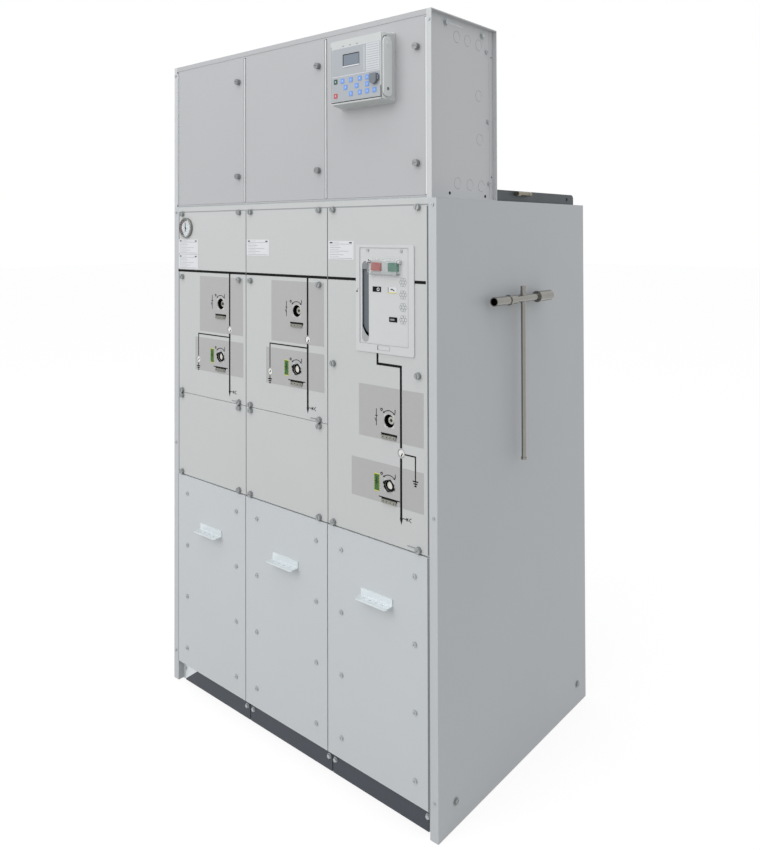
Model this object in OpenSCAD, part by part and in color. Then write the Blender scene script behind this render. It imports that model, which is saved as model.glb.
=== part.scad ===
// Gas-insulated medium-voltage switchgear with three bays: two switch bays and one breaker bay.
// A low-voltage compartment with three doors stands on top. Millimetres, +Z up, front towards -Y.
// The modules work in the cabinet's own frame: X from the middle, Y from the front face, Z from the floor.

/* [Cabinet] */
// Spacing of the three bays
bay_w = 325; // [310:1:345]
// Width of a side panel's front fold
post_w = 23; // [20:1:30]
// Depth from the front face to the back of the rear panel
cab_d = 740; // [720:1:800]
// Height of the main cabinet
cab_h = 1466; // [1455:1:1500]
// Thickness of the folded sheet
sheet = 2; // [1.5:0.25:2.5]
// Gap between neighbouring plates
plate_gap = 3; // [2:0.5:4]
// Depth of the folded edges behind the front face
fold_d = 18; // [16:1:22]
// Width of the rebate that carries the plates
rebate_w = 15; // [12:1:20]
// Height of the rail above the front plates
top_rail_h = 14; // [12:1:18]
// Depth of the rail above the front plates
top_rail_d = 60; // [40:1:80]

/* [Base] */
// Height of the sill under the cable covers
base_h = 62; // [55:1:70]
// Set-back of the sill behind the front face
sill_back = 16; // [3:1:17]
// Width of the sill's foot and of the base rails
sill_foot = 40; // [34:1:50]
// Thickness of the base steel
base_t = 3; // [2.5:0.5:4]
// Radius of the floor bolt holes
floor_hole_r = 7; // [5:0.5:8]
// Distance of the floor bolts from the front face and from the rear
floor_bolt_in = 110; // [90:1:140]

/* [Front plates] */
// Distance of the seam over the cable covers below the breaker bay's earthing shaft
cover_under = 139; // [125:1:150]
// How far the cable covers stand out of the front face
cover_proud = 2; // [2:1:8]
// Distance of the seam under the two switch plates below their earthing shafts
seam_under = 128; // [117:1:137]
// Width of the seam under the two switch plates
seam_gap = 1.5; // [1:0.5:3]
// Width of a cover handle
handle_w = 100; // [90:1:130]
// Height of a cover handle's upright leg
handle_leg = 19; // [15:1:25]
// Reach of a cover handle's shelf
handle_reach = 29; // [24:1:36]
// Distance of a cover handle's shelf below the upper edge of its cover
handle_down = 146; // [125:1:160]

/* [Operating drives] */
// Sideways place of the shafts in the switch bays, from the bay's middle
shaft_x = 47; // [40:1:52]
// Sideways place of the shafts in the breaker bay, from the bay's middle
breaker_shaft_x = 43; // [38:1:50]
// Distance of the switch shafts below the cabinet's top
switch_down = 289; // [280:1:300]
// Distance of the earthing shafts below the switch shafts
earth_pitch = 155; // [145:1:163]
// Distance of the breaker bay's disconnector shaft below the cabinet's top
disconnector_down = 532; // [522:1:540]
// Distance of the breaker bay's earthing shaft below its disconnector shaft
breaker_earth_pitch = 154; // [146:1:162]
// Radius of a switch socket in the front plate
socket_r = 16; // [14:0.5:18]
// Radius of an earthing socket in the front plate
earth_r = 12.5; // [12.5:0.5:14]
// Radius of a shaft
shaft_r = 9; // [7:0.5:9]
// Radius of the hole in a switch shaft's end
shaft_hole_r = 4; // [3:0.5:4.5]
// Depth of a switch shaft's end behind the front face
shaft_set_back = 8; // [6:1:12]
// Depth of an earthing shaft's end behind the front face
earth_set_back = 4; // [2:1:8]
// Sideways place of the switch indicators in the switch bays
indicator_x = 89; // [80:1:95]
// Sideways place of the indicator in the breaker bay
breaker_indicator_x = 80; // [74:1:86]
// Distance of the switch indicators below the switch shafts
indicator_under = 73; // [65:1:81]
// Distance of the breaker bay's indicator below its disconnector shaft
breaker_indicator_under = 70; // [62:1:78]
// Sideways place of the earthing indicators, left of the bay's middle
earth_indicator_x = 60; // [52:1:68]
// Distance of the earthing indicators below the earthing shafts
earth_indicator_under = 18; // [12:1:26]
// Radius of an indicator window
indicator_r = 9; // [7:0.5:11]
// Clearance between the front plate and an indicator disc
indicator_clear = 5; // [5:0.5:7]
// Width of a padlock tab
tab_w = 44; // [40:1:50]
// Height of a padlock tab below its shaft
tab_drop = 37; // [34:1:40]
// Length of a padlock tab's sloping tongue
tab_leg = 8; // [8:1:12]
// Slope of a padlock tab's tongue below level
tab_slope = 70; // [55:1:72]
// Height of the slot that a padlock tab comes out of
tab_slot_h = 5; // [4:0.5:7]
// Depth of the front of the drive units behind the front face
drive_y = 40; // [36:1:46]
// Radial running clearance of shafts and pins
run_clear = 0.05; // [0.03:0.01:0.1]

/* [Breaker panel] */
// Width of the raised panel
panel_w = 183; // [176:1:192]
// Height of the raised panel
panel_h = 262; // [255:1:272]
// Distance of the panel's top edge below the cabinet's top
panel_down = 110; // [104:1:116]
// Sideways place of the panel's middle in its bay
panel_x = 30.5; // [26:0.5:34]
// How far the panel stands out of the front face
panel_proud = 3; // [3:0.5:10]
// Width of the charging slot
slot_w = 22; // [18:1:24]
// Length of the charging slot
slot_h = 198; // [180:1:205]
// Width of a push button
button_w = 30; // [26:1:32]
// Height of a push button
button_h = 20; // [18:1:22]
// How far a push button stands out of the panel
button_proud = 4; // [3:0.5:5]
// Width of the clear flap over the buttons
flap_w = 92; // [90:1:100]
// Height of the clear flap
flap_h = 36; // [34:1:44]

/* [Low-voltage compartment] */
// Height of the compartment
lv_h = 438; // [420:1:460]
// Depth of the compartment
lv_d = 280; // [265:1:300]
// Half of what the compartment is narrower than the cabinet; its left side is flush
lv_inset = 6.5; // [4:0.5:9]
// Height of the rail above the doors
lv_rail_h = 13; // [11:1:18]
// Clearance around the doors
door_gap = 5; // [5:0.5:6]
// Depth of a door's folded edges
door_d = 20; // [17:1:24]
// Radius of a door's rolled hinge edge
roll_r = 6; // [5:0.5:8]
// Radius of a door's hinge pin
pin_r = 2.5; // [2:0.25:3]
// Distance of a lock from the bay's right edge
lock_in = 25; // [20:1:30]
// Height of the upper locks above the compartment's floor
lock_high = 354; // [340:1:365]
// Height of the lower locks above the compartment's floor
lock_low = 82; // [70:1:95]

/* [Protection relay] */
// Width of the relay's flange
relay_w = 178; // [170:1:184]
// Height of the relay's flange
relay_h = 169; // [160:1:176]
// How far the relay stands out of its door
relay_proud = 45; // [40:1:52]
// Sideways place of the relay's middle in its bay, left of the bay's middle
relay_x = 16.5; // [10:0.5:24]
// Height of the relay's middle above the compartment's floor
relay_z = 314; // [300:1:325]

/* [Operating lever] */
// Distance of the lever's head from the side panel
lever_off = 28; // [24:1:34]
// Depth of the lever's rod behind the front face
lever_y = 338; // [320:1:360]
// Height of the lever's head
lever_z = 1215; // [1190:1:1240]
// Length of the lever's rod below its head
lever_len = 415; // [380:1:450]
// Length of the lever's head
lever_head = 280; // [270:1:320]
// Radius of the lever's rod
rod_r = 6; // [5:0.5:7]

/* [Top] */
// Height of the lifting plates above the cabinet
lift_h = 30; // [24:1:40]
// Thickness of the lifting plates
lift_t = 6; // [5:0.5:8]

/* [Hidden] */
$fn = 48;

bays = 3;
cab_w = bays * bay_w + 2 * post_w;
half_w = cab_w / 2;
inner_w = bays * bay_w;
eps = 0.01;

// Low-voltage compartment
lv_w = cab_w - 2 * lv_inset;
lv_wall_x = inner_w / 2 + door_gap / 2;
lv_recess = lv_w / 2 - lv_wall_x;
lv_z = cab_h;
lv_top = lv_z + lv_h;
door_w = bay_w - door_gap;
door_z = lv_z + sheet + door_gap;
door_top = lv_top - lv_rail_h - door_gap;
door_h = door_top - door_z;
stile_w = 24;
stile_d = 20;
pin_len = door_gap + sheet + 4;
lock_r = 8;
lock_len = 11;
lock_slot = 2;

// Protection relay
relay_taper = 6;
relay_round = 5;
relay_flange_t = 4;
relay_body_in = 14;
relay_body_d = 150;
relay_bay = 2;
relay_cut_clear = 1;
key_size = 9;
key_t = 1.2;
key_pitch = 27;
key_wide = 36;
key_rows = [28, 45, 62];
key_in = [75, 57, 47];
key_side = 24;
port_in = 27;
port_up = 53;
port_r = 11;
port_t = 9;

// Front face
switch_z = cab_h - switch_down;
earth_z = switch_z - earth_pitch;
disconnector_z = cab_h - disconnector_down;
breaker_earth_z = disconnector_z - breaker_earth_pitch;
cover_top = breaker_earth_z - cover_under;
switch_seam = earth_z - seam_under;
handle_z = cover_top - handle_down;
plate_top = cab_h - top_rail_h - plate_gap;
plate_low = cover_top + plate_gap / 2;
stile_half = 15;
handle_x = 5;
sill_end = 1;
handle_round = 8;
handle_hole_r = 3;
handle_t = 3;
rebate_top = cab_h - top_rail_h - rebate_w;
wall_back = cab_d - sheet;

// Gas tank behind the drives
tank_y = 130;
tank_x = inner_w / 2;
tank_over = 20;
tank_z = cover_top + tank_over;
tank_top = cab_h - top_rail_h;
tank_back = wall_back - tank_over;
tank_t = 3;
lift_y = lv_d + 4;
lift_end = tank_back - 8;
lift_round = 12;
lift_hole_r = 6;
lift_hole_in = 42;
lift_low = 80;
valve_in = 90;

// Operating drives
indicator_z = switch_z - indicator_under;
breaker_indicator_z = disconnector_z - breaker_indicator_under;
earth_indicator_z = earth_z - earth_indicator_under;
hub_len = 12;
lug_reach = 3;
cup_t = 4;
shaft_seat = 30;
spindle_r = 3;
disc_r = indicator_r + 3;
disc_t = 2;
disc_y = sheet + indicator_clear;
tab_t = 2;
tab_clear = 3;
tab_under = 0.5;
tab_bend = 2;
tab_round = 3;
tab_hole_r = 1.6;
tab_hole_under = 0.4;
tab_out = tab_leg * cos(tab_slope);
tab_fall = tab_leg * sin(tab_slope);
ring_t = 3;
ring_r = earth_r + 3.5;
ring_hole_r = earth_r - 0.5;
ring_ear_r = 3.5;
drive_left = 85;
drive_right = 125;
drive_over = 58;

// Pressure gauge
gauge_x = -121;
gauge_down = 64;
gauge_z = cab_h - gauge_down;
gauge_r = 31;
gauge_proud = 8;
gauge_rim = 4;

// Breaker panel
panel_left = bay_x(2) + panel_x - panel_w / 2;
panel_z = cab_h - panel_down - panel_h;
panel_face = -panel_proud;
panel_round = 5;
panel_rim = 12;
panel_rim_right = 17;
panel_rim_top = 7;
panel_rim_low = 21;
panel_step = 1;
slot_in = 20;
slot_up = 24;
slot_left = panel_left + slot_in;
slot_z = panel_z + slot_up;
slot_r = slot_w / 2;
drum_r = 95;
drum_w = slot_w + 16;
drum_gap = 3;
flap_in = 48;
flap_down = 35;
flap_left = panel_left + flap_in;
flap_top = panel_z + panel_h - flap_down;
flap_r = 6;
flap_t = 1.5;
flap_gap = 0.5;
flap_pin_r = 1.5;
flap_axis_y = panel_face + panel_step - flap_gap - flap_r;
flap_axis_z = flap_top - flap_r;
lug_w = 5;
lug_gap = 0.5;
button_clear = 0.3;
button_in = 16;
button_side = 20;
button_drop = 18;
button_pitch = 53;
button_z = flap_top - button_drop;
open_x = flap_left + button_side;
close_x = open_x + button_pitch;

// Operating lever
lever_x = half_w + lever_off;
lever_tube_r = 9;
socket_len = 70;
small_socket_r = 11.5;
large_socket_r = 15;
socket_bore_r = shaft_r + 0.3;
nub_h = 32;
nub_r = rod_r + 1;
nub_groove = 2;
collar_w = 4;
sleeve_r = small_socket_r - 0.5;
sleeve_len = 36;
foot_h = 6;
holder_r = 8;
holder_y = 28;
holder_clear = 0.3;
holder_span = holder_y + 2 * holder_r;

// Reach beyond the cabinet's own box, which places the origin at the middle of the floor area
lever_reach = lever_off + large_socket_r;
front_reach = relay_proud + port_t;
mid_x = lever_reach / 2;
mid_y = (cab_d - front_reach) / 2;

function bay_x(i) = (i - 1) * bay_w;
function bay_left(i) = bay_x(i) - bay_w / 2;
function bay_right(i) = bay_x(i) + bay_w / 2;
function is_breaker(i) = i == 2;
function shaft_at(i) = bay_x(i) + (is_breaker(i) ? breaker_shaft_x : shaft_x);
function switch_at(i) = [shaft_at(i), is_breaker(i) ? disconnector_z : switch_z];
function earth_at(i) = [shaft_at(i), is_breaker(i) ? breaker_earth_z : earth_z];
function shafts_at(i) = [switch_at(i), earth_at(i)];
function indicator_at(i) = is_breaker(i)
  ? [bay_x(i) + breaker_indicator_x, breaker_indicator_z]
  : [bay_x(i) + indicator_x, indicator_z];
function earth_indicator_at(i) = [bay_x(i) - earth_indicator_x, earth_indicator_z];
function indicators_at(i) = is_breaker(i) ? [indicator_at(i)] : [indicator_at(i), earth_indicator_at(i)];
function plate_z(i) = is_breaker(i) ? plate_low : switch_seam + seam_gap / 2;
function drive_z(i) = earth_at(i)[1] - drive_over;
function drive_top(i) = is_breaker(i) ? panel_z + panel_h : switch_z + drive_over;
function door_left(i) = bay_left(i) + door_gap / 2;

// Moves the cabinet's frame to the part's origin
module place() {
  translate([-mid_x, -mid_y, 0]) children();
}

// Sets the low-voltage compartment on the cabinet, flush with its left side
module on_top() {
  place() translate([-lv_inset, 0, 0]) children();
}

// A cylinder along +Y from a point on the front
module along_y(r, len, at, y) {
  translate([at[0], y, at[1]]) rotate([-90, 0, 0]) cylinder(r = r, h = len);
}

// A rectangle with round corners, from its lower left corner
module round_rect(w, h, r) {
  translate([r, 0]) square([w - 2 * r, h]);
  translate([0, r]) square([w, h - 2 * r]);
  for (x = [r, w - r], y = [r, h - r]) translate([x, y]) circle(r = r);
}

// A flat shape drawn in X and Z, given a thickness along +Y from y
module upright(y, t) {
  translate([0, y + t, 0]) rotate([90, 0, 0]) linear_extrude(height = t) children();
}

// A sheet tray that is open towards the back
module tray(x, y, z, w, d, h) {
  difference() {
    translate([x, y, z]) cube([w, d, h]);
    translate([x + sheet, y + sheet, z + sheet]) cube([w - 2 * sheet, d, h - 2 * sheet]);
  }
}

// Side rails of the base, with the holes for the floor bolts
module base_rails() {
  rail_x = half_w - sheet - sill_foot;
  color("#8d9192") place() for (side = [-1, 1]) scale_x(side) difference() {
    translate([rail_x, sill_back + sill_foot, 0]) cube([sill_foot, rail_len(), base_h]);
    translate([rail_x - eps, sill_back + sill_foot - eps, base_t])
      cube([sill_foot - base_t + eps, rail_len() + 2 * eps, base_h - 2 * base_t]);
    for (y = [floor_bolt_in, cab_d - floor_bolt_in])
      translate([rail_x + sill_foot / 2, y, -eps]) cylinder(r = floor_hole_r, h = base_t + 2 * eps);
  }
}

function rail_len() = wall_back - sill_foot - sill_back - sill_foot;

// Mirrors its children to the left for a side of -1
module scale_x(side) {
  if (side < 0) mirror([1, 0, 0]) children();
  else children();
}

// Channel across the rear of the base
module rear_sill() {
  len = cab_w - 2 * sheet;
  color("#8d9192") place() difference() {
    translate([-len / 2, wall_back - sill_foot, 0]) cube([len, sill_foot, base_h]);
    translate([-len / 2 - eps, wall_back - sill_foot - eps, base_t])
      cube([len + 2 * eps, sill_foot - base_t, base_h - 2 * base_t]);
  }
}

// One channel across the foot of each bay
module front_sills() {
  color("#6f7475") place() for (i = [0 : bays - 1]) {
    left = bay_left(i) + (i == 0 ? rebate_w + sill_end : plate_gap / 2);
    right = bay_right(i) - (i == bays - 1 ? rebate_w + sill_end : plate_gap / 2);
    difference() {
      translate([left, sill_back, 0]) cube([right - left, sill_foot, base_h]);
      translate([left - eps, sill_back + base_t, base_t])
        cube([right - left + 2 * eps, sill_foot, base_h - 2 * base_t]);
    }
  }
}

// Plan of the right side panel: wall and front fold
module side_plan() {
  edge = inner_w / 2;
  translate([half_w - sheet, 0]) square([sheet, cab_d]);
  translate([edge, 0]) square([post_w, sheet]);
  translate([edge, 0]) square([sheet, fold_d + sheet]);
}

// Side panel with the rebate for the plates and a flange along its top
module side_panel(side) {
  color("#b4b8b9") place() scale_x(side) {
    linear_extrude(height = cab_h) side_plan();
    translate([inner_w / 2 - rebate_w, fold_d, 0]) cube([rebate_w + sheet, sheet, rebate_top]);
    translate([half_w - post_w / 2, fold_d + top_rail_d, cab_h - sheet])
      cube([post_w / 2, cab_d - fold_d - top_rail_d, sheet]);
  }
}

// Flat sheet across the back, with its edges folded forward
module rear_panel() {
  len = inner_w + 2 * post_w - 2 * sheet;
  top = tank_top - sheet;
  color("#a9adae") place() difference() {
    translate([-len / 2, wall_back - fold_d + sheet, base_h]) cube([len, fold_d, top - base_h]);
    translate([-len / 2 + sheet, wall_back - fold_d, base_h + sheet])
      cube([len - 2 * sheet, fold_d, top - base_h - 2 * sheet]);
  }
}

// Welded gas tank: floor and four walls
module gas_tank() {
  wall_top = tank_top - tank_t;
  color("#b9bcbb") place() difference() {
    translate([-tank_x, tank_y, tank_z]) cube([2 * tank_x, tank_back - tank_y, wall_top - tank_z]);
    translate([tank_t - tank_x, tank_y + tank_t, tank_z + tank_t])
      cube([2 * (tank_x - tank_t), tank_back - tank_y - 2 * tank_t, wall_top - tank_z]);
  }
}

// Lid welded on the tank
module tank_lid() {
  color("#b9bcbb") place() translate([-tank_x, tank_y, tank_top - tank_t])
    cube([2 * tank_x, tank_back - tank_y, tank_t]);
}

// Steel plates along the tank's top edges, with a rounded rear corner and a bolt hole
module lifting_plates() {
  h = lift_h + lift_low;
  len = lift_end - lift_y;
  color("#5e6061") place() for (side = [-1, 1]) scale_x(side)
    translate([tank_x, lift_y, cab_h - lift_low]) rotate([90, 0, 90]) linear_extrude(height = lift_t)
      difference() {
        union() {
          square([len - lift_round, h]);
          square([len, h - lift_round]);
          translate([len - lift_round, h - lift_round]) circle(r = lift_round);
        }
        translate([len - lift_hole_in, h - lift_h / 2]) circle(r = lift_hole_r);
      }
}

// Gas filling valve that lies along the outside of the right lifting plate
module gas_valve() {
  nut_r = 6.9;
  nut_len = 14;
  pipe_r = 5.5;
  pipe_len = 42;
  cap_r = 6;
  x = tank_x + lift_t + nut_r;
  color("#b79a55") place() translate([x, lift_y + valve_in, cab_h + lift_h - nut_r]) {
    along_y(nut_r, nut_len, [0, 0], 0, $fn = 6);
    along_y(pipe_r, pipe_len, [0, 0], nut_len - eps);
    along_y(cap_r, nut_len, [0, 0], nut_len + pipe_len - 2 * eps);
    translate([-nut_r, nut_len + pipe_len / 3, -pipe_r / 2]) cube([nut_r, pipe_len / 3, pipe_r]);
  }
}

// Rail above the front plates, folded back along its top and its lower edge
module top_rail() {
  low = cab_h - top_rail_h;
  color("#c6c9c8") place() translate([-inner_w / 2, 0, 0]) {
    translate([0, 0, low]) cube([inner_w, sheet, top_rail_h]);
    translate([0, 0, cab_h - sheet]) cube([inner_w, top_rail_d, sheet]);
    translate([0, 0, low]) cube([inner_w, fold_d + sheet, sheet]);
    translate([0, fold_d, low - rebate_w]) cube([inner_w, sheet, rebate_w + sheet]);
  }
}

// Stiles behind the seams of the plates, with the walls between the cable spaces
module bay_partitions() {
  stile_back = fold_d + 2 * sheet;
  color("#a9adae") place() for (x = [bay_right(0), bay_right(1)]) translate([x, 0, 0]) {
    translate([-stile_half, fold_d, base_h]) cube([2 * stile_half, 2 * sheet, rebate_top - base_h]);
    translate([-sheet / 2, stile_back - eps, base_h])
      cube([sheet, wall_back - fold_d + sheet - stile_back, tank_z - base_h]);
  }
}

// Openings of a bay's plate for the sockets, the indicators and the padlock tabs
module plate_openings(i) {
  along_y(socket_r, sheet + 2 * eps, switch_at(i), -eps);
  along_y(earth_r, sheet + 2 * eps, earth_at(i), -eps);
  for (at = shafts_at(i))
    translate([at[0] - tab_w / 2 - tab_clear, -eps, at[1] - tab_drop - tab_under])
      cube([tab_w + 2 * tab_clear, sheet + 2 * eps, tab_slot_h]);
  for (at = indicators_at(i)) along_y(indicator_r, sheet + 2 * eps, at, -eps);
}

module front_plate(i) {
  left = bay_left(i) + plate_gap / 2;
  color("#c9cbc8") place() difference() {
    tray(left, 0, plate_z(i), bay_w - plate_gap, fold_d, plate_top - plate_z(i));
    plate_openings(i);
    if (is_breaker(i))
      translate([panel_left + panel_rim, -eps, panel_z + panel_rim_low])
        cube([panel_w - 2 * panel_rim, sheet + 2 * eps, panel_h - panel_rim_low - panel_rim_top - 8]);
  }
}

module lower_plate(i) {
  top = switch_seam - seam_gap / 2;
  color("#c9cbc8") place()
    tray(bay_left(i) + plate_gap / 2, 0, plate_low, bay_w - plate_gap, fold_d, top - plate_low);
}

module cable_cover(i) {
  top = cover_top - plate_gap / 2;
  color("#c4c8ca") place() tray(bay_left(i) + plate_gap / 2, -cover_proud, base_h,
    bay_w - plate_gap, fold_d + cover_proud, top - base_h);
}

// Angle handles on the cable covers
module cover_handles() {
  r = handle_round;
  t = handle_t;
  left = handle_x - handle_w / 2;
  color("#aeb1b0") place() for (i = [0 : bays - 1]) translate([bay_x(i) + left, -cover_proud, handle_z]) {
    translate([0, -t, 0]) cube([handle_w, t, handle_leg]);
    difference() {
      translate([0, -handle_reach, 0]) linear_extrude(height = t) {
        translate([0, r]) square([handle_w, handle_reach - r]);
        translate([r, 0]) square([handle_w - 2 * r, handle_reach]);
        for (x = [r, handle_w - r]) translate([x, r]) circle(r = r);
      }
      for (k = [0 : 3])
        translate([handle_w * (k + 1) / 5, -handle_reach / 2, -eps])
          cylinder(r = handle_hole_r, h = t + 2 * eps);
    }
  }
}

// Closed drive units behind the plates, bored for the shafts and the indicator spindles
module drive_units() {
  color("#3d4144") place() for (i = [0 : bays - 1]) difference() {
    translate([bay_x(i) - drive_left, drive_y, drive_z(i)])
      cube([drive_left + drive_right, tank_y - drive_y, drive_top(i) - drive_z(i)]);
    for (at = shafts_at(i)) along_y(shaft_r + run_clear, shaft_seat + eps, at, drive_y - eps);
    for (at = indicators_at(i)) along_y(spindle_r + run_clear, shaft_seat + eps, at, drive_y - eps);
    if (is_breaker(i))
      translate([slot_left + slot_r - drum_w / 2 - 2, drive_y - eps, slot_z - 10])
        cube([drum_w + 4, tank_y, slot_h + 20]);
  }
}

// Dark cup between a plate and a drive
module cup(at, r) {
  difference() {
    along_y(r + cup_t, drive_y - sheet, at, sheet);
    along_y(r, drive_y, at, sheet - eps);
  }
}

// Cups of all shafts, with six-sided rims at the earthing sockets
module shaft_sockets() {
  color("#17191a") place() for (i = [0 : bays - 1]) {
    cup(switch_at(i), socket_r);
    cup(earth_at(i), earth_r);
    earth_rim(earth_at(i));
  }
}

module earth_rim(at) {
  upright(-ring_t, ring_t) translate(at) difference() {
    union() {
      rotate(15) circle(r = ring_r, $fn = 6);
      for (a = [-20, 160]) rotate(a) translate([ring_r - 1, 0]) circle(r = ring_ear_r);
    }
    circle(r = ring_hole_r);
  }
}

// Bent tabs that take a padlock below each socket, carried by the drives
module padlock_tabs() {
  color("#b3b1a6") place() for (i = [0 : bays - 1], at = shafts_at(i))
    translate([at[0] - tab_w / 2, 0, at[1] - tab_drop]) difference() {
      intersection() {
        rotate([90, 0, 90]) linear_extrude(height = tab_w) tab_profile();
        upright(-tab_bend - tab_leg, tab_leg + tab_bend + drive_y + 1) tab_front();
      }
      for (k = [0 : 3])
        along_y(tab_hole_r, tab_leg + tab_bend, [tab_w * (k + 0.5) / 4, -tab_hole_r - tab_hole_under],
          -tab_bend - tab_leg);
    }
}

// Side view of a padlock tab: a level sheet that bends down in front of the plate
module tab_profile() {
  inner = tab_t * tan(tab_slope / 2);
  tip = [-tab_bend - tab_out, tab_t - tab_fall];
  polygon([[drive_y, 0], [drive_y, tab_t], [-tab_bend, tab_t], tip,
    [tip[0] + tab_t * sin(tab_slope), tip[1] - tab_t * cos(tab_slope)], [inner - tab_bend, 0]]);
}

// Front view of a padlock tab, with its lower corners rounded
module tab_front() {
  low = tab_t - tab_fall - tab_t * cos(tab_slope);
  translate([0, low + tab_round]) square([tab_w, tab_t - low - tab_round]);
  translate([tab_round, low]) square([tab_w - 2 * tab_round, tab_t - low]);
  for (x = [tab_round, tab_w - tab_round]) translate([x, low + tab_round]) circle(r = tab_round);
}

// Gas pressure gauge with a turned rim and a recessed face
module pressure_gauge() {
  at = [bay_x(0) + gauge_x, gauge_z];
  color("#9a9d9d") place() translate([at[0], 0, at[1]]) rotate([90, 0, 0]) rotate_extrude()
    polygon([[0, 0], [gauge_r, 0], [gauge_r, gauge_proud - 2], [gauge_r - 2, gauge_proud],
      [gauge_r - gauge_rim, gauge_proud], [gauge_r - gauge_rim, gauge_proud - 4], [0, gauge_proud - 4]]);
}

// Outline of the charging slot
module slot_outline() {
  translate([slot_left, slot_z + slot_r]) square([slot_w, slot_h - 2 * slot_r]);
  for (z = [slot_z + slot_r, slot_z + slot_h - slot_r]) translate([slot_left + slot_r, z]) circle(r = slot_r);
}

// Openings for the two push buttons
module button_holes() {
  for (x = [open_x, close_x])
    translate([x - button_w / 2 - button_clear, button_z - button_h / 2 - button_clear])
      square([button_w + 2 * button_clear, button_h + 2 * button_clear]);
}

// Raised panel with a stepped field, the charging slot and the lugs of the clear flap
module breaker_panel() {
  field_w = panel_w - panel_rim - panel_rim_right;
  field_h = panel_h - panel_rim_top - panel_rim_low;
  color("#c7c9c8") place() {
    difference() {
      upright(panel_face, panel_proud) difference() {
        translate([panel_left, panel_z]) round_rect(panel_w, panel_h, panel_round);
        slot_outline();
        button_holes();
      }
      translate([panel_left + panel_rim, panel_face - eps, panel_z + panel_rim_low])
        cube([field_w, panel_step + eps, field_h]);
    }
    for (side = [-1, 1]) flap_lug(side);
  }
}

// Lug beside the flap, with the pin that the flap turns on
module flap_lug(side) {
  mid = flap_left + flap_w / 2;
  inner = flap_w / 2 + lug_gap;
  back = panel_face + panel_step;
  translate([mid, 0, flap_axis_z]) scale_x(side) {
    translate([inner, back - flap_gap - flap_r, -4]) cube([lug_w, flap_gap + flap_r + eps, 8]);
    translate([inner, flap_axis_y, 0]) rotate([0, 90, 0]) cylinder(r = 4, h = lug_w);
    translate([inner - lug_gap - flap_t, flap_axis_y, 0]) rotate([0, 90, 0])
      cylinder(r = flap_pin_r, h = lug_gap + flap_t + eps);
  }
}

// Drum behind the charging slot, in a pocket of the breaker's drive and seated on the tank's front
module charging_drum() {
  mid_z = slot_z + slot_h / 2;
  color("#5a5f63") place() translate([slot_left + slot_r - drum_w / 2, 0, mid_z]) intersection() {
    translate([0, drum_gap + drum_r, 0]) rotate([0, 90, 0]) cylinder(r = drum_r, h = drum_w, $fn = 96);
    translate([-eps, 0, -slot_h / 2 - 8]) cube([drum_w + 2 * eps, tank_y, slot_h + 16]);
  }
}

// Plain shaft from its end to its seat in the drive
module drive_shaft(at, front) {
  along_y(shaft_r, drive_y + shaft_seat - front - 1, at, front);
}

// Switch shaft with two lugs for the lever and a hole for its centring pin
module switch_shaft(i) {
  at = switch_at(i);
  color("#a8a9a5") place() difference() {
    union() {
      drive_shaft(at, shaft_set_back);
      translate([at[0], shaft_set_back + hub_len / 2, at[1]])
        cube([2 * (shaft_r + lug_reach), 4, 5], center = true);
    }
    along_y(shaft_hole_r, hub_len, at, shaft_set_back - eps);
  }
}

module earth_shaft(i) {
  color("#a8a9a5") place() drive_shaft(earth_at(i), earth_set_back);
}

// Indicator disc on its spindle
module indicator(at) {
  color("#e9e9e5") place() {
    along_y(disc_r, disc_t, at, disc_y);
    along_y(spindle_r, drive_y + shaft_seat - disc_y - 1, at, disc_y);
  }
}

// Push button that slides through the breaker panel
module push_button(x, paint) {
  front = panel_face + panel_step - button_proud;
  color(paint) place() translate([x - button_w / 2, front, button_z - button_h / 2])
    cube([button_w, button_in, button_h]);
}

module open_button() {
  push_button(open_x, "#b5403c");
}

module close_button() {
  push_button(close_x, "#2f6b5a");
}

// Side outline of the clear flap, round about its pins
module flap_outline(r, drop) {
  circle(r = r);
  translate([-r, -drop]) square([2 * r, drop]);
}

// Clear flap over the push buttons, open towards the panel
module button_flap() {
  drop = flap_h - flap_r;
  color([0.85, 0.87, 0.88, 0.5]) place() translate([flap_left, flap_axis_y, flap_axis_z]) difference() {
    rotate([90, 0, 90]) linear_extrude(height = flap_w) flap_outline(flap_r, drop);
    translate([flap_t, 0, 0]) rotate([90, 0, 90]) linear_extrude(height = flap_w - 2 * flap_t) {
      flap_outline(flap_r - flap_t, drop - flap_t);
      translate([0, flap_t - drop]) square([flap_r + eps, drop + flap_r]);
    }
    translate([-eps, 0, 0]) rotate([0, 90, 0]) cylinder(r = flap_pin_r + run_clear, h = flap_w + 2 * eps);
  }
}

// Recessed side walls with their edges folded outwards
module lv_side_walls() {
  color("#b2b5b6") on_top() for (side = [-1, 1]) scale_x(side) difference() {
    translate([lv_wall_x, 0, lv_z]) cube([lv_recess, lv_d, lv_h]);
    translate([lv_wall_x + sheet, sheet, lv_z + sheet])
      cube([lv_recess, lv_d - 2 * sheet, lv_h - 2 * sheet]);
  }
}

// Roof with the folded rail above the doors
module lv_roof() {
  low = lv_top - lv_rail_h;
  color("#bcbfc0") on_top() translate([-lv_wall_x, 0, 0]) {
    translate([0, 0, lv_top - sheet]) cube([2 * lv_wall_x, lv_d, sheet]);
    translate([0, 0, low]) cube([2 * lv_wall_x, sheet, lv_rail_h]);
    translate([0, 0, low]) cube([2 * lv_wall_x, door_d, sheet]);
  }
}

module lv_floor() {
  color("#b7babb") on_top() translate([-lv_wall_x, 0, lv_z]) cube([2 * lv_wall_x, lv_d, sheet]);
}

module lv_back() {
  color("#b7babb") on_top() translate([-lv_wall_x, lv_d - sheet, lv_z + sheet])
    cube([2 * lv_wall_x, sheet, lv_h - 2 * sheet]);
}

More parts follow.
